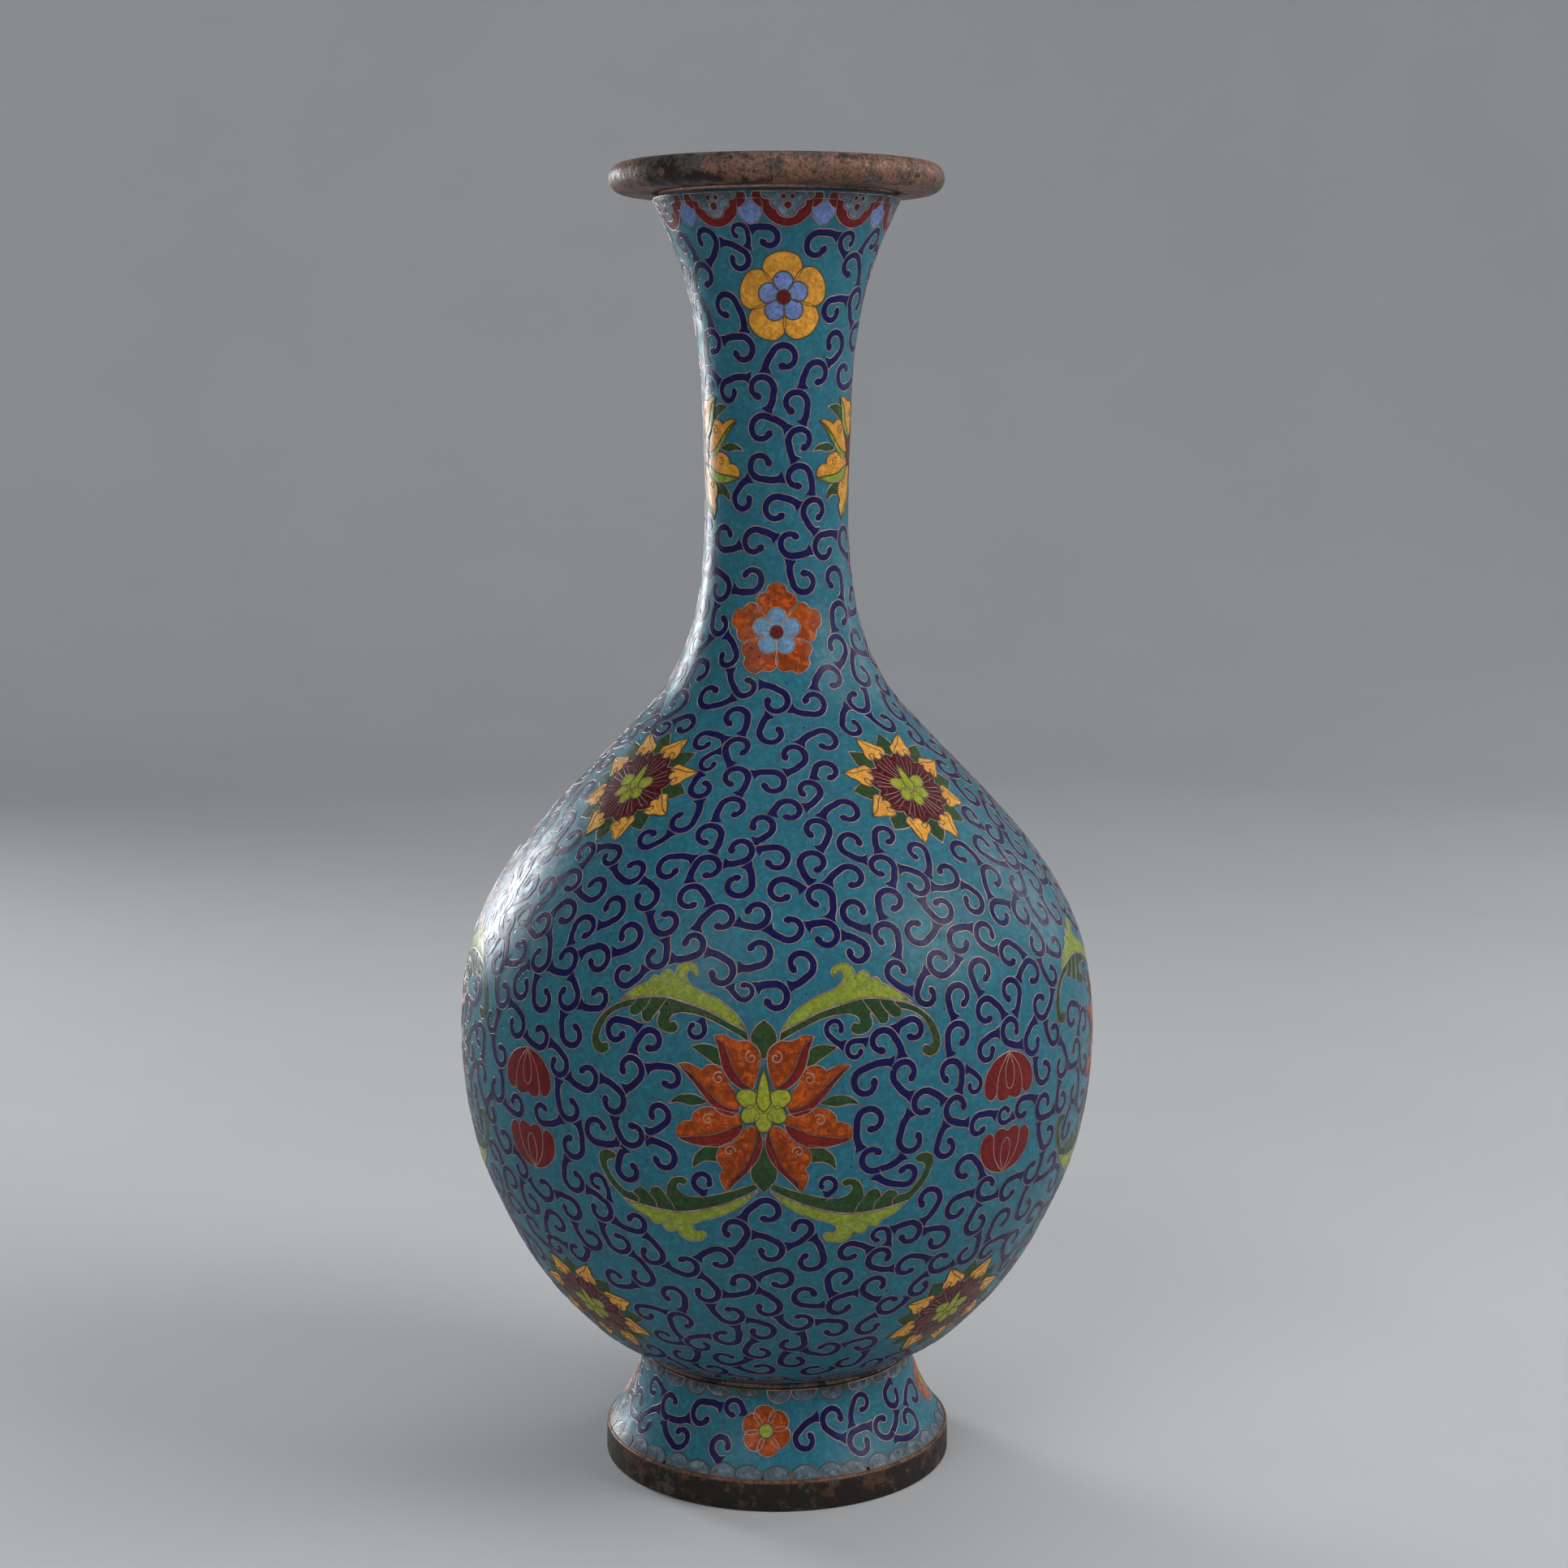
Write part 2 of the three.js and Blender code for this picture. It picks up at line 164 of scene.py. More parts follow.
def distance_to(points, closed_line):
    """Distance of each point from a closed line."""
    a = closed_line[None, :, :]
    b = np.roll(closed_line, -1, 0)[None, :, :]
    p = points[:, None, :]
    along = b - a
    share = np.clip(((p - a) * along).sum(-1) / np.maximum((along**2).sum(-1), 1e-12), 0, 1)
    return np.linalg.norm(p - (a + along * share[..., None]), axis=-1).min(1)


def inside(points, closed_line):
    a, b = closed_line, np.roll(closed_line, -1, 0)
    x, y = points[:, 0:1], points[:, 1:2]
    crosses = (a[:, 1] > y) != (b[:, 1] > y)
    rise = np.where(b[:, 1] == a[:, 1], 1e-12, b[:, 1] - a[:, 1])
    left = x < (b[:, 0] - a[:, 0]) * (y - a[:, 1]) / rise + a[:, 0]
    return (crosses & left).sum(1) % 2 == 1


# ---------------------------------------------------------------- the surface
class Skin:
    """A surface of revolution through [height, radius] stations, in millimetres."""

    def __init__(self, stations):
        curve = catmull_rom(stations, 60)
        self.z, self.r = curve[:, 0], curve[:, 1]
        self.s = np.concatenate([[0], np.cumsum(np.hypot(np.diff(self.z), np.diff(self.r)))])
        self.out_r = np.gradient(self.z, self.s)
        self.out_z = -np.gradient(self.r, self.s)

    def length_at(self, z):
        return np.interp(z, self.z, self.s)

    def radius(self, s):
        return np.interp(s, self.s, self.r)

    def ring_points(self, s, lift):
        """(radius, height) at lengths s along the profile, lift above the surface."""
        r = np.interp(s, self.s, self.r) + lift * np.interp(s, self.s, self.out_r)
        z = np.interp(s, self.s, self.z) + lift * np.interp(s, self.s, self.out_z)
        return r, z

    def points(self, turn, s, lift):
        r, z = self.ring_points(s, lift)
        return np.stack([r * np.sin(turn), -r * np.cos(turn), z], -1)

    def line(self, bottom, top, step, lift):
        """The profile between two heights as a list of (radius, height)."""
        low, high = self.length_at(bottom), self.length_at(top)
        s = np.linspace(low, high, max(2, int((high - low) / step)) + 1)
        return list(zip(*self.ring_points(s, lift)))


body = Skin(BODY_STATIONS)
foot = Skin(FOOT_STATIONS)


# ---------------------------------------------------------------- meshes
def mesh_object(name, points_mm, faces, looks, slots=None, edge=None):
    """A smooth mesh object. faces is a list of index arrays, each with one number of corners."""
    mesh = bpy.data.meshes.new(name)
    corners = np.concatenate([f.ravel() for f in faces]).astype(np.int32)
    sizes = np.concatenate([np.full(len(f), f.shape[1]) for f in faces])
    mesh.vertices.add(len(points_mm))
    mesh.vertices.foreach_set("co", (np.asarray(points_mm) * MM).astype(np.float32).ravel())
    mesh.loops.add(len(corners))
    mesh.loops.foreach_set("vertex_index", corners)
    mesh.polygons.add(len(sizes))
    starts = np.concatenate([[0], np.cumsum(sizes)[:-1]]).astype(np.int32)
    mesh.polygons.foreach_set("loop_start", starts)
    mesh.polygons.foreach_set("use_smooth", np.ones(len(sizes), bool))
    for look in looks:
        mesh.materials.append(LOOKS[look])
    if slots is not None:
        mesh.polygons.foreach_set("material_index", np.asarray(slots, np.int32))
    mesh.update(calc_edges=True)
    if edge is not None:
        attribute = mesh.attributes.new("edge", "FLOAT", "POINT")
        attribute.data.foreach_set("value", np.asarray(edge, np.float32))
    mesh.validate()
    thing = bpy.data.objects.new(name, mesh)
    bpy.context.scene.collection.objects.link(thing)
    return thing


def belongs(thing, slot, *nodes):
    """The piece rides on the vase and stands for these CAD nodes. slot is not used."""
    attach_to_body(thing, "root")
    if nodes:
        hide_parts(*nodes)
    return thing


def revolve(name, profile, look, closed=True):
    """A closed ring, or a closed bowl whose profile starts and ends on the axis."""
    profile = np.array(profile, float)
    turn = np.linspace(0, 2 * math.pi, AROUND, endpoint=False)
    r, z = profile[:, 0], profile[:, 1]
    points = np.stack([r[:, None] * np.sin(turn), -r[:, None] * np.cos(turn), z[:, None] + 0 * turn], -1)
    rows = np.arange(len(profile))
    pairs = np.stack([rows, np.roll(rows, -1)], -1) if closed else np.stack([rows[:-1], rows[1:]], -1)
    along = np.arange(AROUND)
    after = np.roll(along, -1)
    quads = []
    for low, high in pairs * AROUND:
        quads.append(np.stack([low + along, low + after, high + after, high + along], -1))
    thing = mesh_object(name, points.reshape(-1, 3), [np.concatenate(quads)], [look])
    if not closed:
        weld_axis(thing)
    thing.data.set_sharp_from_angle(angle=math.radians(40))
    return thing


def weld_axis(thing):
    """Joins the points that lie on the axis into one, and drops the faces that this closes up."""
    weld = thing.modifiers.new("weld", "WELD")
    weld.merge_threshold = 1e-6
    bpy.context.view_layer.update()
    evaluated = thing.evaluated_get(bpy.context.evaluated_depsgraph_get())
    mesh = bpy.data.meshes.new_from_object(evaluated)
    thing.modifiers.clear()
    thing.data = mesh


def strip_quads(first, second):
    """Faces between rows of three points, from each first row to its second row."""
    a, b = 3 * first, 3 * second
    return np.concatenate([np.stack([a + k, b + k, b + k + 1, a + k + 1], -1) for k in (0, 1)])


KEEP_CLEAR = []             # points of the finished motifs, which the scrolls stay away from


class Sheet:
    """Enamel cells and wires laid on a skin around one angle and height."""

    triangulated = {}

    def __init__(self, skin, degrees, height):
        self.skin = skin
        self.angle = math.radians(degrees)
        self.s0 = float(skin.length_at(height))
        self.points, self.edge, self.tris, self.quads = [], [], [], []
        self.tri_looks, self.quad_looks, self.looks = [], [], []
        self.count = 0

    def move_to(self, degrees):
        self.angle = math.radians(degrees)

    def look_index(self, look):
        if look not in self.looks:
            self.looks.append(look)
        return self.looks.index(look)

    def place(self, xy, lift):
        s = self.s0 + xy[:, 1]
        turn = self.angle + xy[:, 0] / self.skin.radius(s)
        return self.skin.points(turn, s, ENAMEL_TOP + lift)

    def add(self, points, edge, faces, look):
        index = self.look_index(look)
        faces = faces + self.count
        self.points.append(points)
        self.edge.append(edge)
        self.count += len(points)
        if faces.shape[1] == 3:
            self.tris.append(faces)
            self.tri_looks.append(np.full(len(faces), index))
        else:
            self.quads.append(faces)
            self.quad_looks.append(np.full(len(faces), index))

    def fill(self, line, look, layer=0.0):
        """An enamel cell: slightly domed, with its distance from the wire kept for the material."""
        key = line.tobytes()
        if key not in Sheet.triangulated:
            Sheet.triangulated[key] = triangulate(line)
        points, faces, depth = Sheet.triangulated[key]
        lift = layer * LAYER + CELL_LIFT + DOME * (1 - np.exp(-depth / 0.7))
        self.add(self.place(points, lift), np.clip(depth / EDGE_FADE, 0, 1), faces, look)

    def wire(self, line, closed=False, layer=0.0, width=WIRE_WIDTH, look="wire"):
        """A thin half-round strip along a line."""
        line = np.asarray(line)
        ahead = np.roll(line, -1, 0) - line
        behind = line - np.roll(line, 1, 0)
        if not closed:
            ahead[-1], behind[0] = behind[-1], ahead[0]
        ahead = ahead / np.maximum(np.linalg.norm(ahead, axis=1, keepdims=True), 1e-9)
        behind = behind / np.maximum(np.linalg.norm(behind, axis=1, keepdims=True), 1e-9)
        normal = np.stack([-(ahead + behind)[:, 1], (ahead + behind)[:, 0]], -1)
        size = np.linalg.norm(normal, axis=1, keepdims=True)
        normal = normal / np.maximum(size, 1e-9) * np.minimum(2 / np.maximum(size, 0.7), 1.6)
        section = ((-width / 2, -0.02), (0, WIRE_HEIGHT), (width / 2, -0.02))
        base = layer * LAYER + CELL_LIFT
        rows = [self.place(line + normal * across, base + up) for across, up in section]
        points = np.stack(rows, 1).reshape(-1, 3)
        count = len(line)
        first = np.arange(count if closed else count - 1)
        second = (first + 1) % count
        self.add(points, np.tile([0.0, 1.0, 0.0], count), strip_quads(first, second), look)

    def cell(self, line, look, layer=0.0, wire="wire"):
        """An enamel cell with a wire round it."""
        self.fill(line, look, layer)
        self.wire(line, closed=True, layer=layer, look=wire)

    def band(self, line, half_width, look):
        """A strip of enamel along a line whose half width varies, with a wire round it."""
        along = np.gradient(line, axis=0)
        along /= np.maximum(np.linalg.norm(along, axis=1, keepdims=True), 1e-9)
        normal = np.stack([-along[:, 1], along[:, 0]], -1) * half_width[:, None]
        section = ((-1, CELL_LIFT), (0, CELL_LIFT + DOME), (1, CELL_LIFT))
        rows = [self.place(line + normal * side, up) for side, up in section]
        points = np.stack(rows, 1).reshape(-1, 3)
        first = np.arange(len(line) - 1)
        edge = np.stack([0 * half_width, np.clip(half_width / EDGE_FADE, 0, 1), 0 * half_width], -1).ravel()
        self.add(points, edge, strip_quads(first, first + 1), look)
        self.wire(np.vstack([line - normal, (line + normal)[::-1]]), width=0.33)

    def build(self, name, slot, *nodes):
        points = np.concatenate(self.points)
        if nodes:
            KEEP_CLEAR.extend(points)
        faces, slots = [], []
        if self.tris:
            faces.append(np.concatenate(self.tris))
            slots.append(np.concatenate(self.tri_looks))
        if self.quads:
            faces.append(np.concatenate(self.quads))
            slots.append(np.concatenate(self.quad_looks))
        slots, edge = np.concatenate(slots), np.concatenate(self.edge)
        return belongs(mesh_object(name, points, faces, self.looks, slots, edge), slot, *nodes)


def triangulate(line):
    """Points, triangles and each point's distance from the outline, for a closed outline."""
    low, high = line.min(0), line.max(0)
    xs = np.arange(low[0], high[0], GRID)
    ys = np.arange(low[1], high[1], GRID * 0.87)
    grid = np.array([(x + (row % 2) * GRID / 2, y) for row, y in enumerate(ys) for x in xs]).reshape(-1, 2)
    if len(grid):
        grid = grid[inside(grid, line)]
    if len(grid):
        grid = grid[distance_to(grid, line) > GRID * 0.45]
    points = [Vector(p) for p in np.vstack([line, grid]).tolist()]
    loop = list(range(len(line)))
    found = delaunay_2d_cdt(points, [], [loop], 1, 1e-5)
    flat = np.array([tuple(p) for p in found[0]])
    faces = np.array([f for f in found[2] if len(f) == 3])
    a, b, c = (flat[faces[:, k]] for k in range(3))
    turn = (b - a)[:, 0] * (c - a)[:, 1] - (b - a)[:, 1] * (c - a)[:, 0]
    faces[turn < 0] = faces[turn < 0][:, ::-1]
    return flat, faces, distance_to(flat, line)


# ---------------------------------------------------------------- materials
class Look:
    """A node material, put together with short calls. Noise sizes are in millimetres."""

    def __init__(self, name):
        self.material = bpy.data.materials.new(name)
        self.material.use_nodes = True
        self.tree = self.material.node_tree
        self.shader = self.tree.nodes["Principled BSDF"]
        self.spot = self.tree.nodes.new("ShaderNodeTexCoord").outputs["Object"]

    def link(self, value, socket):
        if isinstance(value, bpy.types.NodeSocket):
            self.tree.links.new(value, socket)
        else:
            socket.default_value = value

    def noise(self, size, detail=3.0, rough=0.55, distort=0.0):
        node = self.tree.nodes.new("ShaderNodeTexNoise")
        self.link(self.spot, node.inputs["Vector"])
        node.inputs["Scale"].default_value = 1 / (size * MM)
        node.inputs["Detail"].default_value = detail
        node.inputs["Roughness"].default_value = rough
        node.inputs["Distortion"].default_value = distort
        return node.outputs["Fac"]

    def spots(self, size, radius, share):
        """Round spots about size apart, in only this share of the places; radius in parts of size."""
        node = self.tree.nodes.new("ShaderNodeTexVoronoi")
        self.link(self.spot, node.inputs["Vector"])
        node.inputs["Scale"].default_value = 1 / (size * MM)
        parts = self.tree.nodes.new("ShaderNodeSeparateColor")
        self.link(node.outputs["Color"], parts.inputs[0])
        chosen = self.math("LESS_THAN", parts.outputs[0], share)
        round_spot = self.ramp(node.outputs["Distance"], radius * 0.6, radius * 1.3, 1, 0)
        return self.math("MULTIPLY", round_spot, chosen)

    def near_joins(self):
        """Grime and painted shade where the foot meets the body, just above the foot band and where the neck
        meets the rim.
        """
        over_foot = self.ramp(self.height(), 37 * MM, 44 * MM, 1, 0)
        below = self.ramp(self.height(), 29 * MM, 34 * MM, 0, 1)
        waist = self.math("MULTIPLY", over_foot, below)
        band = self.ramp(self.height(), 10 * MM, 14 * MM, 0.7, 0)
        mouth = self.ramp(self.height(), 385 * MM, 391 * MM, 0, 0.9)
        return self.math("MAXIMUM", self.math("MAXIMUM", waist, band), mouth)

    def ramp(self, value, low, high, start=0.0, end=1.0):
        """start below low, end above high, smooth between them."""
        node = self.tree.nodes.new("ShaderNodeMapRange")
        node.interpolation_type = "SMOOTHSTEP"
        sockets = ("Value", "From Min", "From Max", "To Min", "To Max")
        for socket, number in zip(sockets, (value, low, high, start, end)):
            self.link(number, node.inputs[socket])
        return node.outputs["Result"]

    def mix(self, share, first, second):
        node = self.tree.nodes.new("ShaderNodeMix")
        node.data_type = "RGBA"
        self.link(share, node.inputs["Factor"])
        for value, socket in ((first, node.inputs[6]), (second, node.inputs[7])):
            self.link(value if isinstance(value, bpy.types.NodeSocket) else (*value, 1.0), socket)
        return node.outputs[2]

    def math(self, kind, first, second):
        node = self.tree.nodes.new("ShaderNodeMath")
        node.operation = kind
        self.link(first, node.inputs[0])
        self.link(second, node.inputs[1])
        return node.outputs["Value"]

    def attribute(self, name):
        node = self.tree.nodes.new("ShaderNodeAttribute")
        node.attribute_name = name
        return node.outputs["Fac"]

    def height(self):
        """Height over the floor, in metres."""
        node = self.tree.nodes.new("ShaderNodeSeparateXYZ")
        self.link(self.spot, node.inputs[0])
        return node.outputs["Z"]

    def distance(self, place_mm):
        """Distance from a place on the vase, in metres."""
        node = self.tree.nodes.new("ShaderNodeVectorMath")
        node.operation = "DISTANCE"
        self.link(self.spot, node.inputs[0])
        node.inputs[1].default_value = [part * MM for part in place_mm]
        return node.outputs["Value"]

    def bump(self, height, depth_mm, strength=1.0, under=None):
        node = self.tree.nodes.new("ShaderNodeBump")
        node.inputs["Strength"].default_value = strength
        node.inputs["Distance"].default_value = depth_mm * MM
        self.link(height, node.inputs["Height"])
        if under is not None:
            self.link(under, node.inputs["Normal"])
        return node.outputs["Normal"]

    def finish(self, colour, roughness, normal, metal=0.0):
        self.link(colour, self.shader.inputs["Base Color"])
        self.link(roughness, self.shader.inputs["Roughness"])
        self.link(normal, self.shader.inputs["Normal"])
        self.shader.inputs["Metallic"].default_value = metal
        return self.material


def shade(colour, factor):
    return tuple(min(1.0, channel * factor) for channel in colour)


def enamel(name, colour, other, speck=0.6, mottle=0.5, wire_grime_and_shade=0.75):
    """Fired and polished enamel: mottled colour, dark pits, grime and painted shade beside the wires and at
    the joins, a satin surface.
    """
    look = Look("enamel_" + name)
    drift = look.ramp(look.noise(18, 2), 0.38, 0.62)
    clouds = look.ramp(look.noise(3.2, 5, 0.7, 0.3), 0.38, 0.62)
    light = look.ramp(look.noise(2.1, 5, 0.75), 0.48, 0.62)
    grain = look.ramp(look.noise(1.1, 4, 0.7), 0.42, 0.6)
    tone = look.mix(look.math("MULTIPLY", drift, mottle), colour, other)
    tone = look.mix(look.math("MULTIPLY", clouds, mottle), tone, shade(other, 0.7))
    tone = look.mix(look.math("MULTIPLY", light, mottle * 0.75), tone, shade(colour, 1.5))
    tone = look.mix(look.math("MULTIPLY", grain, 0.55), tone, shade(colour, 0.42))
    worn = look.ramp(look.noise(24, 2), 0.42, 0.6, 0.25, 1)
    pits = look.math("MAXIMUM", look.spots(2.6, 0.17, 0.34), look.spots(6.5, 0.1, 0.28))
    pits = look.math("MULTIPLY", look.math("MULTIPLY", pits, worn), speck)
    tone = look.mix(pits, tone, (0.007, 0.008, 0.010))
    smudges = look.ramp(look.noise(11, 6, 0.72, 0.5), 0.6, 0.7, 0, 0.55 * speck)
    tone = look.mix(smudges, tone, shade(other, 0.3))
    # grime and painted shade in patches at the joins and under the mouth rim
    patchy = look.ramp(look.noise(3, 5, 0.7), 0.3, 0.62, 0.1, 1)
    tone = look.mix(look.math("MULTIPLY", look.near_joins(), patchy), tone, (0.03, 0.022, 0.018))
    # grime and painted shade beside the wires: each cell darkens towards its wire
    rim = look.ramp(look.attribute("edge"), 0.0, 0.55, wire_grime_and_shade, 0)
    tone = look.mix(rim, tone, shade(colour, 0.25))
    roughness = look.ramp(look.noise(3.5, 4), 0.3, 0.7, 0.27, 0.46)
    wavy = look.bump(look.noise(15, 2), 0.8, 0.5)
    grainy = look.bump(look.noise(0.9, 3), 0.06, 0.6, wavy)
    normal = look.bump(look.math("SUBTRACT", 1.0, pits), 0.15, 0.7, grainy)
    look.shader.inputs["Specular IOR Level"].default_value = 0.14
    return look.finish(tone, roughness, normal)


def wire_metal(name, colour, dark, tarnish):
    """Thin drawn wire, tarnished in patches, with grime and painted shade darkening its low sides at its
    foot.
    """
    look = Look(name)
    patches = look.ramp(look.noise(5, 4, 0.7), 0.42, 0.62, 0, tarnish)
    fine = look.ramp(look.noise(0.5, 2), 0.35, 0.65, 0, 0.35)
    tone = look.mix(patches, colour, dark)
    tone = look.mix(fine, tone, dark)
    # grime and painted shade: the wire's low sides are darker than its top
    tone = look.mix(look.ramp(look.attribute("edge"), 0.1, 0.8, 0.75, 0), tone, shade(dark, 0.6))
    normal = look.bump(look.noise(0.35, 2), 0.03, 0.5)
    return look.finish(tone, 0.46, normal, 0.55)


def aged_copper(name, base=(0.16, 0.085, 0.06), black_from=0.5, worn_from=None, stain=None):
    """Old copper: brown, with black, red-brown and grey-green patches.

    Above worn_from the edge is rubbed bright; around the stain there are more dark patches. Both in mm.
    """
    look = Look(name)
    drift = look.ramp(look.noise(13, 4, 0.6, 0.6), 0.36, 0.6)
    tone = look.mix(drift, base, shade(base, 1.6))
    red = look.ramp(look.noise(5, 5, 0.7), 0.54, 0.64, 0, 0.6)
    tone = look.mix(red, tone, (0.17, 0.055, 0.035))
    stained = 0.0 if stain is None else look.ramp(look.distance(stain), 10 * MM, 34 * MM, 0.075, 0)
    green = look.ramp(look.math("ADD", look.noise(14, 7, 0.75), stained), 0.5, 0.6, 0, 0.85)
    tone = look.mix(green, tone, (0.065, 0.072, 0.058))
    blotches = look.math("ADD", look.noise(8, 8, 0.78), stained)
    tone = look.mix(look.ramp(blotches, black_from, black_from + 0.06, 0, 0.95), tone, (0.009, 0.008, 0.007))
    if worn_from is not None:
        worn = look.ramp(look.height(), worn_from * MM, (worn_from + 1.1) * MM)
        worn = look.math("MULTIPLY", worn, look.ramp(look.noise(4, 4), 0.36, 0.56, 0.1, 0.8))
        tone = look.mix(worn, tone, (0.30, 0.14, 0.08))
    grain = look.ramp(look.noise(0.9, 4, 0.75), 0.42, 0.62, 0, 0.7)
    tone = look.mix(grain, tone, (0.022, 0.016, 0.012))
    roughness = look.ramp(look.noise(2.5, 4), 0.3, 0.7, 0.42, 0.7)
    dents = look.bump(look.noise(7, 3), 0.7, 0.6)
    normal = look.bump(look.noise(0.9, 4), 0.2, 0.7, dents)
    look.shader.inputs["Specular IOR Level"].default_value = 0.3
    return look.finish(tone, roughness, normal, 0.2)


def plain(name, colour, roughness):
    look = Look(name)
    tone = look.mix(look.ramp(look.noise(180, 3), 0.3, 0.7, 0, 1), colour, shade(colour, 0.97))
    return look.finish(tone, roughness, look.bump(look.noise(2, 2), 0.02, 0.2))


LOOKS = {
    "turquoise": enamel("turquoise", (0.066, 0.37, 0.50), (0.044, 0.28, 0.44), speck=1.0, mottle=0.9),
    "cobalt": enamel("cobalt", (0.005, 0.007, 0.085), (0.010, 0.007, 0.06), mottle=0.5, wire_grime_and_shade=0.4),
    "periwinkle": enamel("periwinkle", (0.19, 0.27, 0.56), (0.14, 0.22, 0.46), mottle=0.5),
    "grey_blue": enamel("grey_blue", (0.19, 0.27, 0.34), (0.1, 0.16, 0.21), speck=0.9, mottle=0.8),
    "light_blue": enamel("light_blue", (0.17, 0.32, 0.5), (0.12, 0.26, 0.4), mottle=0.5),
    "orange": enamel("orange", (0.48, 0.085, 0.010), (0.24, 0.04, 0.008), speck=0.7, mottle=0.9),
    "fold_red": enamel("fold_red", (0.21, 0.018, 0.012), (0.13, 0.012, 0.01), mottle=0.5),
    "brick": enamel("brick", (0.18, 0.012, 0.014), (0.13, 0.010, 0.012), mottle=0.5),
    "maroon": enamel("maroon", (0.1, 0.006, 0.010), (0.065, 0.005, 0.008), mottle=0.5),
    "dark_red": enamel("dark_red", (0.16, 0.012, 0.014), (0.12, 0.010, 0.012), mottle=0.5),
    "yellow": enamel("yellow", (0.86, 0.40, 0.06), (0.74, 0.31, 0.045), speck=0.35, mottle=0.4, wire_grime_and_shade=0.6),
    "gold": enamel("gold", (0.80, 0.36, 0.045), (0.6, 0.24, 0.03), speck=0.5, mottle=0.6, wire_grime_and_shade=0.6),
    "lime": enamel("lime", (0.36, 0.40, 0.035), (0.28, 0.33, 0.03), speck=0.4, mottle=0.35),
    "leaf": enamel("leaf", (0.28, 0.35, 0.045), (0.2, 0.27, 0.035), speck=0.8, mottle=0.4),
    "green": enamel("green", (0.018, 0.065, 0.026), (0.045, 0.075, 0.018), speck=0.8, mottle=0.9),
    "wire": wire_metal("wire_brass", (0.46, 0.33, 0.30), (0.12, 0.075, 0.07), 0.7),
    "wire_bright": wire_metal("wire_bright", (0.62, 0.42, 0.36), (0.2, 0.1, 0.08), 0.3),
    "wire_dark": wire_metal("wire_dark", (0.13, 0.085, 0.05), (0.05, 0.035, 0.022), 0.6),
    "copper": aged_copper("copper_dark"),
    "copper_band": aged_copper("copper_foot_band", (0.07, 0.03, 0.018), 0.44, worn_from=8.4),
    "copper_rim": aged_copper("copper_mouth_rim", (0.18, 0.088, 0.06), 0.55, stain=(-26, -44, 395)),
    "studio": plain("studio_sweep", (0.54, 0.55, 0.56), 0.8),
}


# ---------------------------------------------------------------- metal body and enamel ground
def shell(name, skin, bottom, top, lift_out, lift_in, look, step):
    """A ring of even thickness that follows the skin between two heights."""
    outer = skin.line(bottom, top, step, lift_out)
    inner = skin.line(bottom, top, step, lift_in)
    return revolve(name, outer + inner[::-1], look)


def arc(x, y, radius, start, end, steps):
    turn = np.radians(np.linspace(start, end, steps + 1))
    return [(x + radius * math.cos(t), y + radius * math.sin(t)) for t in turn]


def metal_body():
    """The copper under the enamel, and the bare copper of the mouth, the foot band and the base."""
    for name, skin, bottom, top, step in (
        ("upper_body", body, BELLY + SEAM_GAP, NECK_BOTTOM - SEAM_GAP, 4.0),
        ("neck", body, NECK_BOTTOM + SEAM_GAP, NECK_TOP - SEAM_GAP, 4.0),
        ("foot", foot, FOOT_BAND_TOP + 2.4, FOOT_TOP, 1.0),
    ):
        metal = shell(f"{name}_copper", skin, bottom, top, -COPPER_OUTSIDE, -COPPER_INSIDE, "copper", step)
        belongs(metal, "copper_dark", f"{name}_shell")
    outer = body.line(BODY_BOTTOM + SEAM_GAP, BELLY - SEAM_GAP, 4.0, -COPPER_OUTSIDE)
    inner = body.line(BODY_BOTTOM + SEAM_GAP, BELLY - SEAM_GAP, 4.0, -COPPER_INSIDE)
    floor = [(0, BODY_BOTTOM + 1.4), (20, BODY_BOTTOM + 1.4), (38, BODY_BOTTOM + 1.6)]
    under = [(0, BODY_BOTTOM), (20, BODY_BOTTOM), (40.5, BODY_BOTTOM)]
    bowl = revolve("lower_body_copper", under + outer + inner[::-1] + floor[::-1], "copper", closed=False)
    belongs(bowl, "copper_dark", "lower_body_shell")
    plate = [(0, BASE_PLATE), (20, BASE_PLATE), (38.9, BASE_PLATE), (39.1, BASE_PLATE + 0.7),
             (38.9, BASE_PLATE + 1.4), (20, BASE_PLATE + 1.4), (0, BASE_PLATE + 1.4)]
    belongs(revolve("base_plate_copper", plate, "copper", closed=False), "copper_dark", "base_plate")
    ring = arc(42.35, 35.2, 0.9, -90, 90, 8) + [(40.2, 36.1), (40.2, 34.3)]
    belongs(revolve("junction_ring_copper", ring, "copper"), "copper_dark", "junction_ring")
    band = [(51, 0.1), (51.4, 0.02), (53.6, 0.02)] + arc(53.6, 0.8, 0.78, -90, 0, 5)
    band += [(54.36, 3), (54.3, 6)] + arc(53.35, 8.7, 0.85, 0, 90, 6) + [(52.4, 9.5), (51.2, 9.45), (51, 9)]
    belongs(revolve("foot_band_copper", band, "copper_band"), "copper_worn", "foot_band")
    lip = arc(45.84, 395.64, 4.32, -90, 90, 20)
    lip += [(43, 399.9), (40.4, 399.6), (38, 398.9), (36.4, 397.9), (35.3, 396.6), (34.9, 395), (35, 393)]
    lip += [(35.4, 391.9), (36.2, 391.4), (39, 391.32), (42.5, 391.32)]
    belongs(revolve("mouth_rim_copper", lip, "copper_rim"), "copper_worn", "mouth_rim")


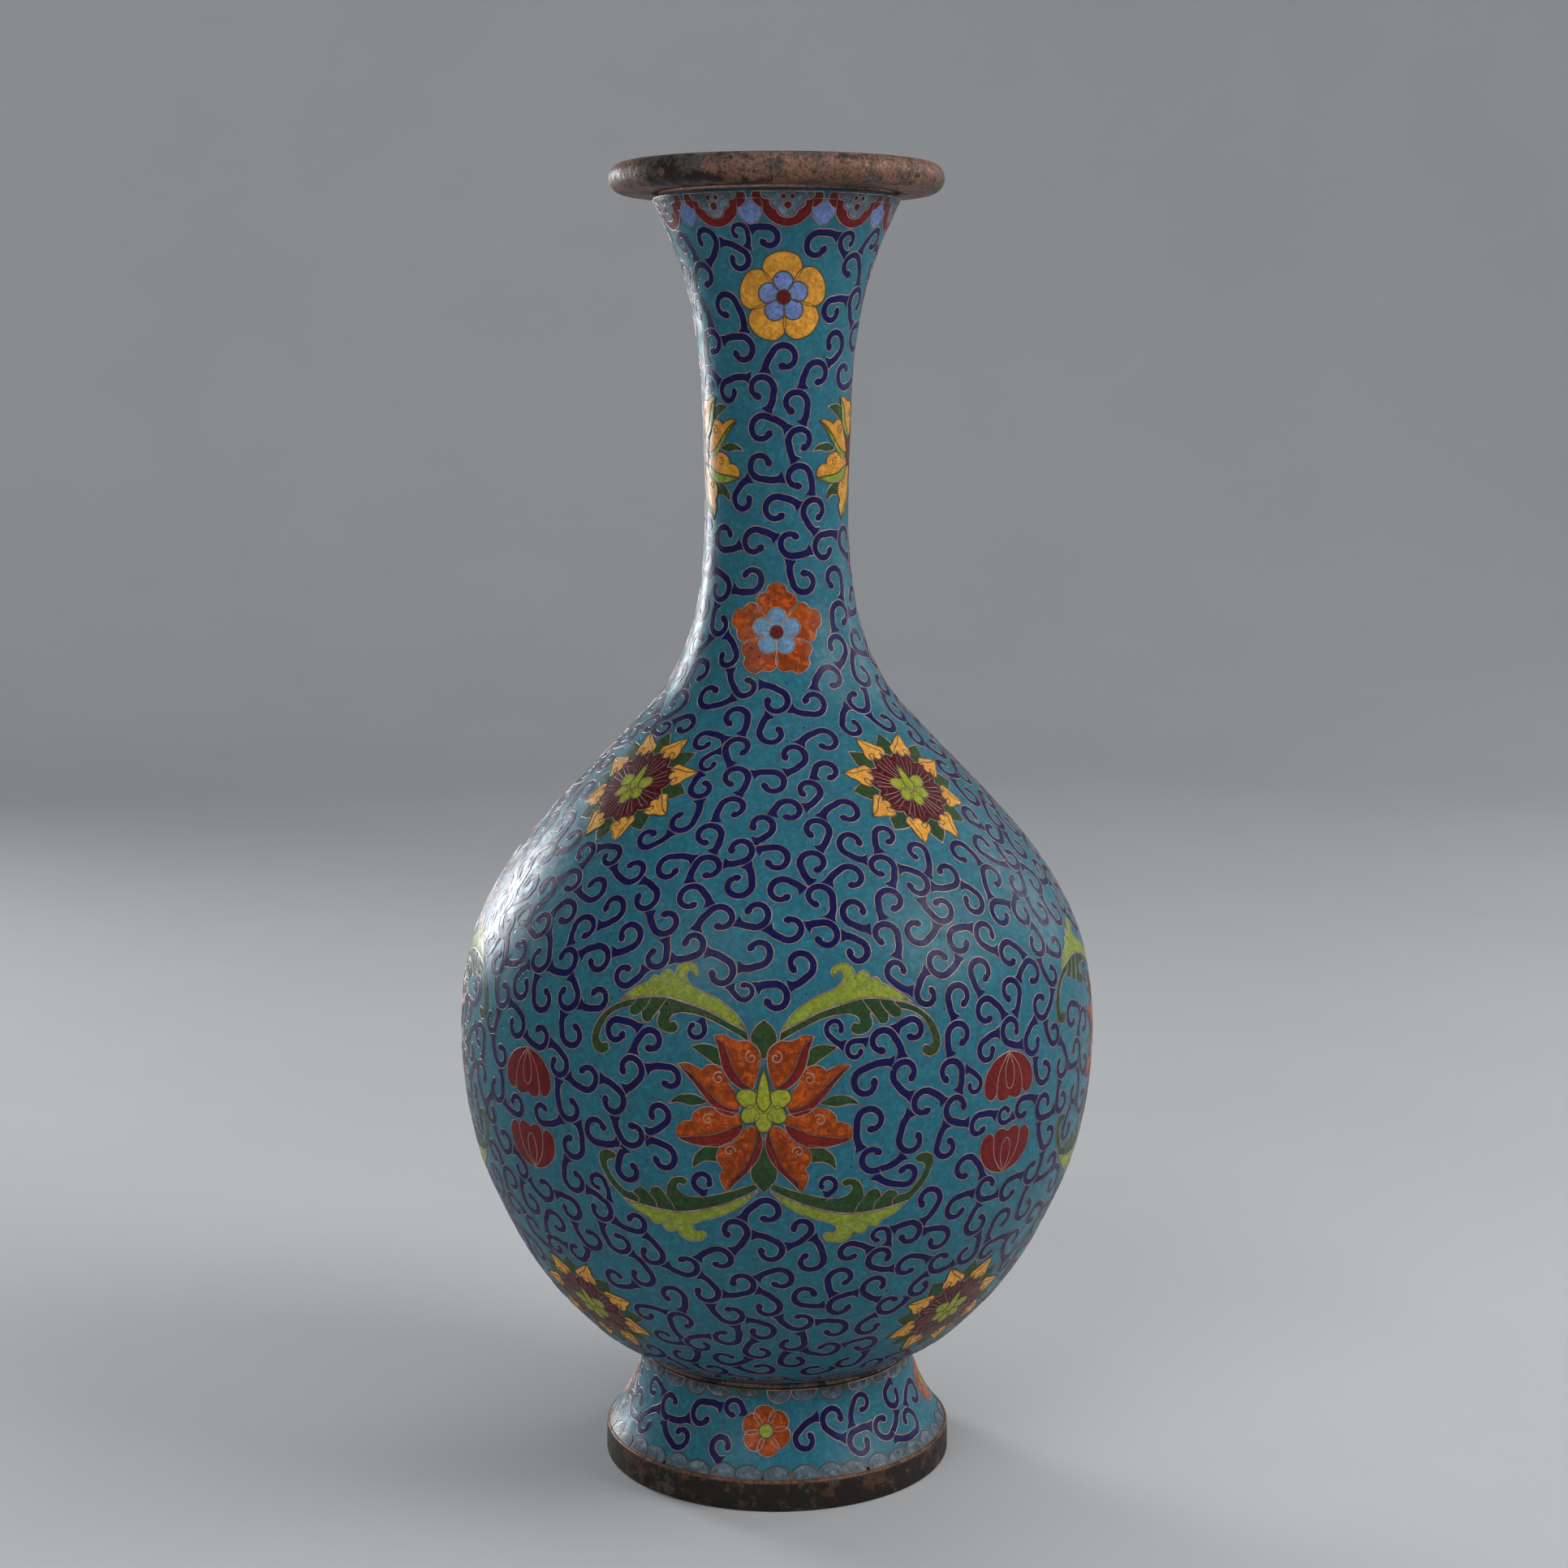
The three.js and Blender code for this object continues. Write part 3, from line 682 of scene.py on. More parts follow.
def enamel_ground():
    """The turquoise skins: one over the body and neck, one over the foot."""
    outer = body.line(BODY_BOTTOM + SEAM_GAP, NECK_TOP - SEAM_GAP, 2.0, ENAMEL_TOP)
    inner = body.line(BODY_BOTTOM + SEAM_GAP, NECK_TOP - SEAM_GAP, 6.0, -ENAMEL_DEPTH)
    ground = revolve("body_ground", outer + inner[::-1], "turquoise")
    belongs(ground, "enamel_turquoise", "enamel_body", "enamel_neck")
    bottom = FOOT_BAND_TOP + 0.9
    ground = shell("foot_ground", foot, bottom, FOOT_TOP, ENAMEL_TOP, -ENAMEL_DEPTH, "turquoise", 0.8)
    belongs(ground, "enamel_turquoise", "enamel_foot")


# ---------------------------------------------------------------- motifs
def both(line):
    return [line, mirrored(line)]


def whole(*left):
    """The runs of a symmetric outline, from those of its left half. The last of them ends in the middle."""
    right = [[(-x, y) for x, y in run[::-1]] for run in left[::-1]]
    return [*left[:-1], left[-1] + right[0][1:], *right[1:]]


BIG_PETALS = [
    {   # inner upper petal
        "edge": [[(-14.1, 19), (-11.2, 19.5), (-9, 18.5), (-7.2, 17.8)],
                 [(-7.2, 17.8), (-4.2, 17.8), (-1.5, 15.6), (-0.9, 12.6), (-1.5, 9), (-2.9, 4.4)]],
        "inner": [(-2.9, 4.4), (-5.6, 6.2), (-8.2, 9.6), (-9.7, 13.4), (-11, 16.4), (-14.1, 19)],
        "outer": [(-2.9, 4.4), (-5.6, 4.2), (-8.6, 6), (-11.2, 9.5), (-12.2, 13), (-12.9, 16.2),
                  (-14.1, 19)],
        "curl": (-3.4, 13.3, 1.9, 100, 420),
    },
    {   # outer upper petal
        "edge": [[(-24.5, 10.5), (-22, 11.1), (-19.4, 10.4), (-17.4, 9.4)],
                 [(-17.4, 9.4), (-15.6, 10.9), (-12.8, 10.8), (-10.6, 8.6), (-9.4, 5.6), (-6.6, 2),
                  (-6.4, -1.2)]],
        "inner": [(-6.4, -1.2), (-9.8, -1), (-13.4, 1.2), (-17.4, 5.2), (-21, 8.6), (-24.5, 10.5)],
        "outer": [(-6.4, -1.2), (-8.6, -3.5), (-12.4, -2.5), (-16.2, 1.3), (-19.9, 5.7), (-22.7, 8.8),
                  (-24.5, 10.5)],
        "curl": (-12.6, 7.2, 1.9, 60, 420),
    },
    {   # outer lower petal
        "edge": [[(-24.8, -10.4), (-24.8, -7.6), (-22.9, -5.6), (-20.4, -5.2)],
                 [(-20.4, -5.2), (-20, -3.2), (-17.6, -1.4), (-14.6, -1), (-11, -1.8), (-6.2, -3.2),
                  (-5.6, -5.6)]],
        "inner": [(-5.6, -5.6), (-8.6, -6.6), (-13.4, -8.7), (-18.6, -9.6), (-24.8, -10.4)],
        "outer": [(-5.6, -5.6), (-7.6, -10.2), (-11.4, -12.2), (-17.4, -12.5), (-22, -11.6),
                  (-24.8, -10.4)],
        "curl": (-15.6, -4.6, 1.8, 40, 430),
    },
    {   # inner lower petal
        "edge": [[(-10.4, -26.2), (-11.7, -24), (-12.5, -21.2), (-11.5, -18.9)],
                 [(-11.5, -18.9), (-12.9, -17), (-13.2, -14.4), (-11.8, -12.2), (-8.8, -10.6),
                  (-4.6, -6.4), (-1.4, -6.4)]],
        "inner": [(-1.4, -6.4), (-2.3, -11), (-4, -15.6), (-6.2, -19.4), (-9.2, -22.6), (-10.4, -26.2)],
        "outer": [(-1.4, -6.4), (-0.3, -11), (-1.6, -15.6), (-4.2, -19.4), (-7.3, -22.6), (-10.4, -26.2)],
        "curl": (-9.6, -13.6, 1.7, 0, 420),
    },
]

BIG_SEPALS = [
    outline([(-11.4, 10.6), (-13.4, 10.9), (-16, 12.6), (-20.7, 15.8)],
            [(-20.7, 15.8), (-16.6, 16.7), (-13, 15.7), (-10.6, 13.2), (-11.4, 10.6)]),
    outline([(-27.2, -0.8), (-24.2, 1.8), (-19.4, 2.3), (-15.4, 0.2)],
            [(-15.4, 0.2), (-20, -0.9), (-24, -0.3), (-27.2, -0.8)]),
    outline([(-20.3, -19.3), (-19.7, -15.6), (-16.6, -12.6), (-12.4, -11.6)],
            [(-12.4, -11.6), (-12.8, -16.6), (-16.8, -17), (-20.3, -19.3)]),
]
TOP_SEPAL = outline([(0, 23.8), (-2.5, 21.6), (-3.7, 18.6), (-2.6, 15.4), (0, 12.6)],
                    [(0, 12.6), (2.6, 15.4), (3.7, 18.6), (2.5, 21.6), (0, 23.8)])
BOTTOM_SEPAL = outline([(0, -9.5), (-2.3, -14), (-3.7, -18.8), (-3.1, -22.6), (0, -26)],
                       [(0, -26), (3.1, -22.6), (3.7, -18.8), (2.3, -14), (0, -9.5)])

UPPER_LEAF = {
    "strip": outline(
        [(-4.6, 20.6), (-7.7, 25.2), (-12.1, 28.8), (-16.5, 30.9), (-20, 32.4), (-21.8, 34.6),
         (-21.9, 36.2), (-21, 37), (-20.2, 36.3), (-19.3, 35.4), (-18.6, 36.4), (-18.9, 38),
         (-20.6, 39.1), (-23.4, 38.8), (-25, 37), (-25.5, 34.6)],
        [(-25.5, 34.6), (-26.6, 36.6), (-28.8, 36.4), (-29.8, 34.4)],
        [(-29.8, 34.4), (-31.6, 34.8), (-33.2, 33)],
        [(-33.2, 33), (-37.8, 30.6), (-42.6, 26.8)],
        [(-42.6, 26.8), (-34, 28.7), (-27.7, 29), (-22.4, 27.9), (-15.7, 25.9), (-9.8, 23), (-4.6, 20.6)]),
    "green": outline(
        [(-4.6, 20.2), (-9.8, 22.8), (-15.7, 25.7), (-22.4, 27.7), (-27.7, 28.8), (-34, 28.4),
         (-42.1, 26.3), (-47.3, 23), (-50.4, 19), (-51.6, 15), (-50.6, 12.2), (-48, 11.2), (-45.8, 12.6),
         (-46.2, 14.6), (-47.8, 14.2)],
        [(-47.8, 14.2), (-49, 16), (-46.4, 21.4), (-42.6, 24.2), (-39, 25.4)],
        [(-39, 25.4), (-39.2, 23.6), (-37.2, 23), (-35.4, 24.2)],
        [(-35.4, 24.2), (-35, 22), (-33, 21.6), (-31.4, 23.6)],
        [(-31.4, 23.6), (-29.8, 24.8), (-30.6, 22), (-29.4, 19.8), (-26.2, 19), (-24.2, 20.4),
         (-25.2, 22.4), (-26.8, 22), (-26, 24), (-22.4, 24.9), (-16.6, 23.9), (-9.8, 20.8), (-4.2, 17.6)],
        [(-4.2, 17.6), (-4.4, 18.8), (-4.6, 20.2)]),
    "veins": [
        [(-36.5, 28.3), (-37.6, 26.6), (-39, 25.4)], [(-32.5, 28.5), (-33.6, 26.2), (-35.4, 24.2)],
        [(-27.5, 28.7), (-29, 26.6), (-31.4, 23.6)], [(-24, 35), (-22.4, 33.4), (-21, 32.8)],
        [(-29.6, 34.2), (-27.8, 32.6), (-25.8, 32.4)],
    ],
}
LOWER_LEAF = {
    "strip": outline(
        [(-1.6, -25.4), (-6.5, -27.9), (-13, -30.8), (-20.5, -33), (-26.6, -33.6), (-34.6, -32.8),
         (-41.9, -31)],
        [(-41.9, -31), (-37.6, -34.4), (-33.4, -36.6)],
        [(-33.4, -36.6), (-32.2, -38.2), (-29.6, -37.8)],
        [(-29.6, -37.8), (-28.8, -39.8), (-26.6, -40.4), (-25.2, -39.2)],
        [(-25.2, -39.2), (-24.2, -41.6), (-21, -43.1), (-17.8, -42.4), (-16.6, -40.6), (-17.4, -39.2),
         (-19, -39.6), (-20.2, -38.8), (-20, -37), (-17, -35.6), (-13.2, -34.2), (-7.1, -31),
         (-1.6, -25.4)]),
    "green": outline(
        [(-2.2, -23.2), (-11.6, -26.5), (-19, -28.2), (-22.8, -27.6), (-24.8, -25.8), (-24.4, -24.4),
         (-22.8, -24.6), (-21.8, -23.4), (-23.2, -22.2), (-26.2, -22.8), (-28, -25.6), (-28.2, -28.6)],
        [(-28.2, -28.6), (-30.2, -26.2), (-32.6, -26.4), (-33.4, -28.6)],
        [(-33.4, -28.6), (-35.6, -26.8), (-37.8, -27.4), (-38.6, -28.8)],
        [(-38.6, -28.8), (-41.8, -28), (-45.2, -24.4), (-46.8, -21), (-46, -19.6), (-44.2, -19),
         (-43.8, -17.6), (-45.8, -16.6), (-48.4, -17), (-49.6, -19.2), (-48.6, -22.6), (-46, -26.8),
         (-41.9, -30.8)],
        [(-41.9, -30.8), (-34.6, -32.5), (-26.6, -33.3), (-20.5, -32.7), (-13, -30.5), (-6.5, -27.6),
         (-1.8, -25)],
        [(-1.8, -25), (-1.9, -24.2), (-2.2, -23.2)]),
    "veins": [
        [(-37, -32), (-36.8, -30.2), (-38.6, -28.8)], [(-31, -32.8), (-31.6, -30.6), (-33.4, -28.6)],
        [(-25.6, -33.3), (-26.4, -31), (-28.2, -28.6)], [(-25.2, -39), (-23.2, -37.4), (-21.6, -37.2)],
        [(-29.4, -37.6), (-27.4, -36.2), (-25.6, -36.2)],
    ],
}


def lotus_heart(sheet, look, scale=1.0, layer=4.0, wire="wire_dark"):
    """Five lobes around a teardrop that points up."""
    sheet.fill(circle(0, -0.6 * scale, 5.4 * scale, 0.95), look, layer)
    lobes = ((158, 7.6, 2.7), (217, 7.0, 2.5), (270, 7.4, 2.5), (323, 7.0, 2.5), (22, 7.6, 2.7))
    for degrees, reach, width in lobes:
        half = [(2.6, -width * 0.7), (reach * 0.66, -width), (reach, -width * 0.55)]
        lobe = half + [(reach + 0.5, 0)] + [(x, -y) for x, y in half[::-1]]
        sheet.cell(blob(*turned(lobe, degrees, scale)), look, layer + 0.3, wire)
    drop = np.array(whole([(0, 10.6), (-1.1, 7), (-1.8, 3), (-2, 0.4), (0, -1.9)]))
    sheet.cell(outline(*(drop * scale)), look, layer + 1.2, wire)


def lotus(sheet, petal, fold, heart, scale=1.0, wire="wire", curl_wire="wire_bright"):
    """The eight-petalled flower, with folded petals over dark green sepals."""
    for sepal in BIG_SEPALS:
        for line in both(sepal * scale):
            sheet.cell(line, "green", 0)
    sheet.cell(TOP_SEPAL * scale, "green", 1)
    sheet.cell(BOTTOM_SEPAL * scale, "green", 1)
    for order, parts in zip((3, 2, 1.5, 2.5), BIG_PETALS):
        face = outline(*parts["edge"], parts["inner"]) * scale
        turned_edge = outline(parts["inner"][::-1], parts["outer"]) * scale
        curl = spiral(*parts["curl"]) * scale
        for line in both(face):
            sheet.cell(line, petal, order, wire)
        for line in both(turned_edge):
            sheet.cell(line, fold, order, wire)
        for line in both(curl):
            sheet.wire(line, layer=order + 1.2, width=0.38, look=curl_wire)
    lotus_heart(sheet, heart, scale)


def big_lotus(side, degrees):
    """The lotus of one side and its four acanthus leaves."""
    sheet = Sheet(body, degrees, BIG_LOTUS_AT)
    lotus(sheet, "orange", "fold_red", "lime")
    sheet.build(f"{side}_lotus_inlay", "enamel_orange", f"{side}_lotus")
    for corner, leaf in (("upper", UPPER_LEAF), ("lower", LOWER_LEAF)):
        for hand, flip in (("left", lambda line: line), ("right", mirrored)):
            sheet = Sheet(body, degrees, BIG_LOTUS_AT)
            sheet.cell(flip(leaf["green"]), "green", 0)
            sheet.cell(flip(leaf["strip"]), "leaf", 0.5)
            for vein in leaf["veins"]:
                sheet.wire(flip(path(*vein)), layer=2, width=0.3)
            name = f"{side}_leaf_{corner}_{hand}"
            sheet.build(f"{name}_inlay", "enamel_leaf_green", name)


SMALL_SEPAL = outline([(0, 9), (-3, 11.5), (-3.6, 14.6), (-2, 17.6), (0.6, 20.2)],
                      [(0.6, 20.2), (2.8, 17), (3.5, 13.8), (2.6, 11), (0, 9)])
SMALL_PETAL = outline([(0.8, 20.6), (-1.7, 17.2), (-3.2, 14.6), (-4.7, 12.4), (-4.2, 10.4)],
                      [(-4.2, 10.4), (-2.8, 9.6), (-1.9, 11.2)],
                      [(-1.9, 11.2), (-0.9, 9.5), (0.8, 9.5), (1.5, 11.2)],
                      [(1.5, 11.2), (3.2, 10.4), (4.4, 11.8)],
                      [(4.4, 11.8), (4, 14.2), (2.8, 16), (2.2, 18.4), (0.8, 20.6)])
SMALL_FOLD = path((0.6, 20), (0, 17), (-1.2, 14.6), (-2.4, 12.8), (-3.2, 10.6))
SMALL_CURL = path((3.2, 11), (2.9, 12.6), (1.5, 13.1), (0.8, 12.2), (1.4, 11.6))
SMALL_PETAL, SMALL_FOLD, SMALL_CURL = (
    (0, 4.4) + (0.9, 0.8) * line for line in (SMALL_PETAL, SMALL_FOLD, SMALL_CURL)
)


def small_lotus(name, degrees, height):
    """Yellow petal tips over a maroon disc with fine rays, and a pale green heart."""
    sheet = Sheet(body, degrees, height)
    for turn in range(0, 360, 45):
        sheet.cell(turned(SMALL_SEPAL, turn), "green", 0)
    around = np.linspace(0, 2 * math.pi, 120, endpoint=False)
    scallops = 11.4 + 2.4 * np.abs(np.cos(4 * (around - math.radians(22.5)))) ** 0.8
    disc = np.stack([scallops * np.sin(around), scallops * np.cos(around)], -1)[::-1]
    sheet.cell(disc, "maroon", 1)
    for turn in np.arange(22.5, 360, 45):
        petal = SMALL_PETAL if turn > 180 else mirrored(SMALL_PETAL)
        sides = 1 if turn > 180 else -1
        sheet.cell(turned(petal, turn), "yellow", 2, "wire_dark")
        for line in (SMALL_FOLD, SMALL_CURL):
            sheet.wire(turned(line * (sides, 1), turn), layer=3.2, width=0.4, look="wire_dark")
        for ray in (-14, -5, 5, 14):
            bend = path((0, 4.6), (0.25 * sides, 7), (0.1 * sides, 11.6), spacing=0.8)
            sheet.wire(turned(bend, turn + ray), layer=2.2, width=0.24)
    lotus_heart(sheet, "lime", 0.86, 3)
    sheet.build(f"{name}_inlay", "enamel_maroon", name)


BUD = outline(*whole([(0, 7), (-5.4, 5.3), (-9.4, 1.4), (-10.3, -3.4), (-8.8, -6)],
                     [(-8.8, -6), (-6.8, -6.4), (-5.4, -4.8)],
                     [(-5.4, -4.8), (-4.4, -6.9), (-1.8, -7.2), (0, -6.2)]))
BUD_SEAMS = [
    path((0, 6.8), (-3.6, 2.6), (-5, -1.2), (-5.4, -4.8)),
    path((0, 6.8), (3.6, 2.6), (5, -1.2), (5.4, -4.8)),
    path((0, 6.2), (-1.7, 2), (-1.5, -2.4), (0, -4), (1.5, -2.4), (1.7, 2), (0, 6.2)),
]


def bud(name, degrees, height, upside_down):
    """A small red bud, closed at the top and scalloped below."""
    sheet = Sheet(body, degrees, height)
    turn = 180 if upside_down else 0
    sheet.cell(turned(BUD, turn), "brick", 1)
    for seam in BUD_SEAMS:
        sheet.wire(turned(seam, turn), layer=2.2, width=0.3, look="wire_bright")
    sheet.build(f"{name}_inlay", "enamel_brick_red", name)


ROUND_PETAL = outline(*whole([(0, 1), (-3.6, 4.4), (-5.9, 8.2), (-4.6, 12), (0, 13.5)]))
SCALLOP_PETAL = outline(*whole([(0, 1), (-3, 4.2), (-5.9, 7.8), (-5.7, 10.7), (-3.2, 12.1)],
                               [(-3.2, 12.1), (-2.4, 14), (0, 14.7)]))
FOOT_PETAL = outline(*whole([(0, 0.6), (-2.2, 2.6), (-3.3, 5), (-2.2, 7), (0, 7.6)]))


def blossom(sheet, petal, look, wire, count, lean=0):
    """A flower of this many petals. lean turns it, in degrees."""
    for k in range(count):
        sheet.cell(turned(petal, lean + 360 * k / count), look, 1 + 0.12 * k, wire)


def inner_blossom(sheet, reach, radius, look, wire, lean=0):
    sheet.fill(circle(0, 0, reach * 0.8), look, 2.6)
    for k in range(5):
        turn = math.radians(lean + 72 * k)
        sheet.cell(circle(-reach * math.sin(turn), reach * math.cos(turn), radius), look, 3, wire)


def neck_flowers():
    for side, degrees in (("front", 4.6), ("back", 184.6)):
        sheet = Sheet(body, degrees, YELLOW_FLOWER_AT)
        blossom(sheet, ROUND_PETAL, "gold", "wire_dark", 5, 3)
        inner_blossom(sheet, 4.6, 3.0, "periwinkle", "wire_dark", 3)
        sheet.cell(circle(0, 0, 2.1), "dark_red", 5, "wire_dark")
        sheet.build(f"{side}_yellow_flower_inlay", "enamel_yellow", f"{side}_yellow_flower")
    for side, degrees in (("front", 0), ("back", 180)):
        sheet = Sheet(body, degrees, ORANGE_FLOWER_AT)
        blossom(sheet, SCALLOP_PETAL, "orange", "wire", 5)
        inner_blossom(sheet, 4.6, 2.8, "light_blue", "wire")
        sheet.cell(circle(0, 0, 2.0), "dark_red", 5, "wire_dark")
        sheet.build(f"{side}_orange_flower_inlay", "enamel_orange", f"{side}_orange_flower")
    for side, degrees in (("right", 85), ("left", -82)):
        sheet = Sheet(body, degrees, NECK_LOTUS_AT)
        lotus(sheet, "gold", "leaf", "dark_red", 0.8, "wire_dark", "wire_dark")
        sheet.build(f"{side}_neck_lotus_inlay", "enamel_yellow", f"{side}_neck_lotus")


LAPPET = outline(*whole([(-10.5, 4.4), (-10.7, 2.4), (-9.4, 0.4), (-7.4, -0.5)],
                        [(-7.4, -0.5), (-6.8, -2.3), (-4.4, -4.7), (-1.8, -5.9), (0, -6.1)]),
                 [(10.5, 4.4), (-10.5, 4.4)])
LAPPET_FIELD = outline(*whole([(-7.8, 4.4), (-7.9, 3.4), (-6.9, 2.3), (-5.2, 2)],
                              [(-5.2, 2), (-5, 0.2), (-3.2, -1)],
                              [(-3.2, -1), (-2.3, -2.7), (0, -3.4)]),
                       [(7.8, 4.4), (-7.8, 4.4)])
DROP = outline(*whole([(-3.6, 2.4), (-3.8, -0.8), (-2.6, -3.9), (0, -5.4)]), [(3.6, 2.4), (-3.6, 2.4)])


def mouth_lappets():
    """Ten hanging lobes under the mouth rim, with pale drops between them."""
    sheet = Sheet(body, 0, LAPPETS_AT)
    for k in range(10):
        turn = 5.3 + 36 * k
        sheet.move_to(turn + 18)
        sheet.cell(DROP, "periwinkle", 0)
        sheet.move_to(turn)
        sheet.cell(LAPPET, "brick", 1)
        sheet.cell(LAPPET_FIELD, "grey_blue", 2)
        sheet.cell(circle(0, 0.3, 1.25), "dark_red", 3.2)
        for x in (-1.3, 1.3):
            sheet.cell(circle(x, 2.9, 0.9), "dark_red", 3.2)
    sheet.build("rim_lappets_inlay", "enamel_brick_red", "rim_lappets")


def foot_ornament(rng):
    """Four small flowers, and uneven rows of pale scallops along both edges of the foot."""
    for k, name in enumerate(("front_right", "back_right", "back_left", "front_left")):
        sheet = Sheet(foot, 90 * k - 4, FOOT_FLOWER_AT)
        blossom(sheet, FOOT_PETAL, "orange", "wire", 6, 8)
        sheet.cell(circle(0, 0, 2.2), "lime", 3, "wire_dark")
        sheet.build(f"{name}_foot_flower_inlay", "enamel_orange", f"{name}_foot_flower")
    lower = Sheet(foot, 0, FOOT_BAND_TOP + 0.2)
    for k in range(40):
        lower.move_to(9 * k + rng.uniform(-0.7, 0.7))
        reach = rng.uniform(3.6, 4.6)
        dome = outline(*whole([(-4.1, 0), (-3.6, reach * 0.62), (0, reach)]), [(4.1, 0), (-4.1, 0)])
        lower.cell(dome, "grey_blue", 0.5 + 0.5 * (k % 2), "wire_dark")
    lower.build("foot_lower_scallops", "enamel_pale_blue", "foot_lower_border")
    upper = Sheet(foot, 0, FOOT_TOP)
    for k in range(30):
        upper.move_to(12 * k + rng.uniform(-1.5, 1.5))
        reach = -rng.uniform(2.4, 4.4)
        half = rng.uniform(3.6, 4.7)
        left = [(-half, -0.2), (-half * 0.8, reach * 0.7), (0, reach)]
        lobe = outline(*whole(left), [(half, -0.2), (-half, -0.2)])
        upper.cell(lobe[::-1], "grey_blue", 0.5 + 0.5 * (k % 2), rng.choice(("wire", "wire_dark")))
    upper.build("foot_upper_scallops", "enamel_pale_blue", "foot_upper_border")


# ---------------------------------------------------------------- scrolls
STEM_HALF_WIDTH = 1.14
TIP_RADIUS = 1.27
LARGEST_CURL = 4.75
SMALLEST_CURL = 3.25
STEM_GAP = 2.2              # least distance between the centre lines of two stems
STEM_REACH = 14.0           # furthest that a curl's centre may be from the one it grows from
NEAR_MOTIF = 6.5            # extra small curls fill the gaps this close to the motifs


class Hook:
    """One curled tendril, in a circle around its centre."""

    def __init__(self, skin, turn, s, number):
        self.turn, self.s, self.number = turn, s, number
        self.radius = float(skin.radius(s))
        self.spot = Vector(skin.points(turn, s, 0).tolist())
        self.clear = self.outer = self.half_width = 0.0
        self.line = None

    def fit(self, outer):
        """Sets the size of the curl; small curls are thinner."""
        self.outer = outer
        self.half_width = STEM_HALF_WIDTH * min(1.0, outer / 4.2)

    def flat(self, skin, turn, s):
        """Another place on the skin, seen flat from this centre."""
        away = (turn - self.turn + math.pi) % (2 * math.pi) - math.pi
        return np.array([away * float(skin.radius(s)), s - self.s])

    def round(self, skin, xy):
        """Flat points around this centre, as points in space."""
        s = self.s + xy[:, 1]
        return skin.points(self.turn + xy[:, 0] / skin.radius(s), s, 0)

    def curl(self, start, hand, sweep):
        """The tendril's centre line: a bowed stem from start, then round the circle and in."""
        ring = self.outer - self.half_width
        away = math.hypot(*start)
        if away < ring + 0.7:
            return None
        entry = math.atan2(start[1], start[0]) + hand * math.acos(ring / away)
        join = ring * np.array([math.cos(entry), math.sin(entry)])
        length = math.dist(start, join)
        t = np.linspace(0, 1, max(3, int(length / 0.75)))[:, None]
        side = np.array([-(join - start)[1], (join - start)[0]]) / length
        stem = start + (join - start) * t - side * hand * np.sin(math.pi * t) * length * 0.09
        turns = np.arange(12, sweep + 1, 12)
        inward = np.clip((turns - (sweep - 140)) / 140, 0, 1)
        radii = ring * (1 - 0.56 * inward**1.5)
        angles = entry + hand * np.radians(turns)
        self.entry, self.hand, self.sweep = entry, hand, sweep
        return np.vstack([stem, np.stack([radii * np.cos(angles), radii * np.sin(angles)], -1)]), len(stem)

    def covers(self, angle):
        """Whether the outer part of the curl passes this angle."""
        past = (self.hand * (angle - self.entry)) % (2 * math.pi)
        return math.radians(18) < past < math.radians(self.sweep - 105)


def tree_of(points):
    tree = KDTree(len(points))
    for number, point in enumerate(points):
        tree.insert(point, number)
    tree.balance()
    return tree


def cell_of(spot, size):
    return tuple(int(part // size) for part in spot)


def around(grid, cell):
    """Everything kept in the 27 cells around one cell of a grid."""
    for dx in (-1, 0, 1):
        for dy in (-1, 0, 1):
            for dz in (-1, 0, 1):
                yield from grid.get((cell[0] + dx, cell[1] + dy, cell[2] + dz), ())


def scatter(skin, low, high, gap, clear, motifs, rng):
    """Hook centres between two heights, at least gap apart and clear of the motifs."""
    s_low, s_high = float(skin.length_at(low)), float(skin.length_at(high))
    steps = np.linspace(s_low, s_high, 400)
    share = np.cumsum(skin.radius(steps))
    share = (share - share[0]) / (share[-1] - share[0])
    area = 2 * math.pi * float(np.mean(skin.radius(steps))) * (s_high - s_low)
    hooks, grid = [], {}
    for apart, tries in ((gap * 1.12, 16), (gap * 1.06, 16), (gap, 70)):
        for _ in range(int(area / gap**2 * tries)):
            s = float(np.interp(rng.random(), share, steps))
            hook = Hook(skin, rng.uniform(0, 2 * math.pi), s, len(hooks))
            cell = cell_of(hook.spot, gap * 1.12)
            if any((other.spot - hook.spot).length < apart for other in around(grid, cell)):
                continue
            hook.clear = motifs.find(hook.spot)[2]
            if hook.clear < clear:
                continue
            hooks.append(hook)
            grid.setdefault(cell, []).append(hook)
    for _ in range(16):
        spread(skin, hooks, gap * 1.35, clear, (s_low, s_high), motifs)
    first_count = len(hooks)
    tree = tree_of([hook.spot for hook in hooks])
    for hook in hooks:
        nearest = tree.find_n(hook.spot, 2)[1][2]
        hook.fit(min(LARGEST_CURL, nearest / 2 - 0.15, hook.clear - 0.35))
    for _ in range(int(area / gap**2 * 60)):
        s = float(np.interp(rng.random(), share, steps))
        small = Hook(skin, rng.uniform(0, 2 * math.pi), s, len(hooks))
        small.clear = motifs.find(small.spot)[2]
        if not SMALLEST_CURL + 0.3 < small.clear < NEAR_MOTIF:
            continue
        added = [other for other in hooks[first_count:] if (other.spot - small.spot).length < 12]
        near = [hooks[number] for _, number, _ in tree.find_range(small.spot, 10)] + added
        gaps = [(other.spot - small.spot).length - other.outer - 0.5 for other in near]
        room = min([small.clear - 0.3] + gaps)
        if room > SMALLEST_CURL:
            small.fit(min(room, 4.2))
            hooks.append(small)
    return hooks


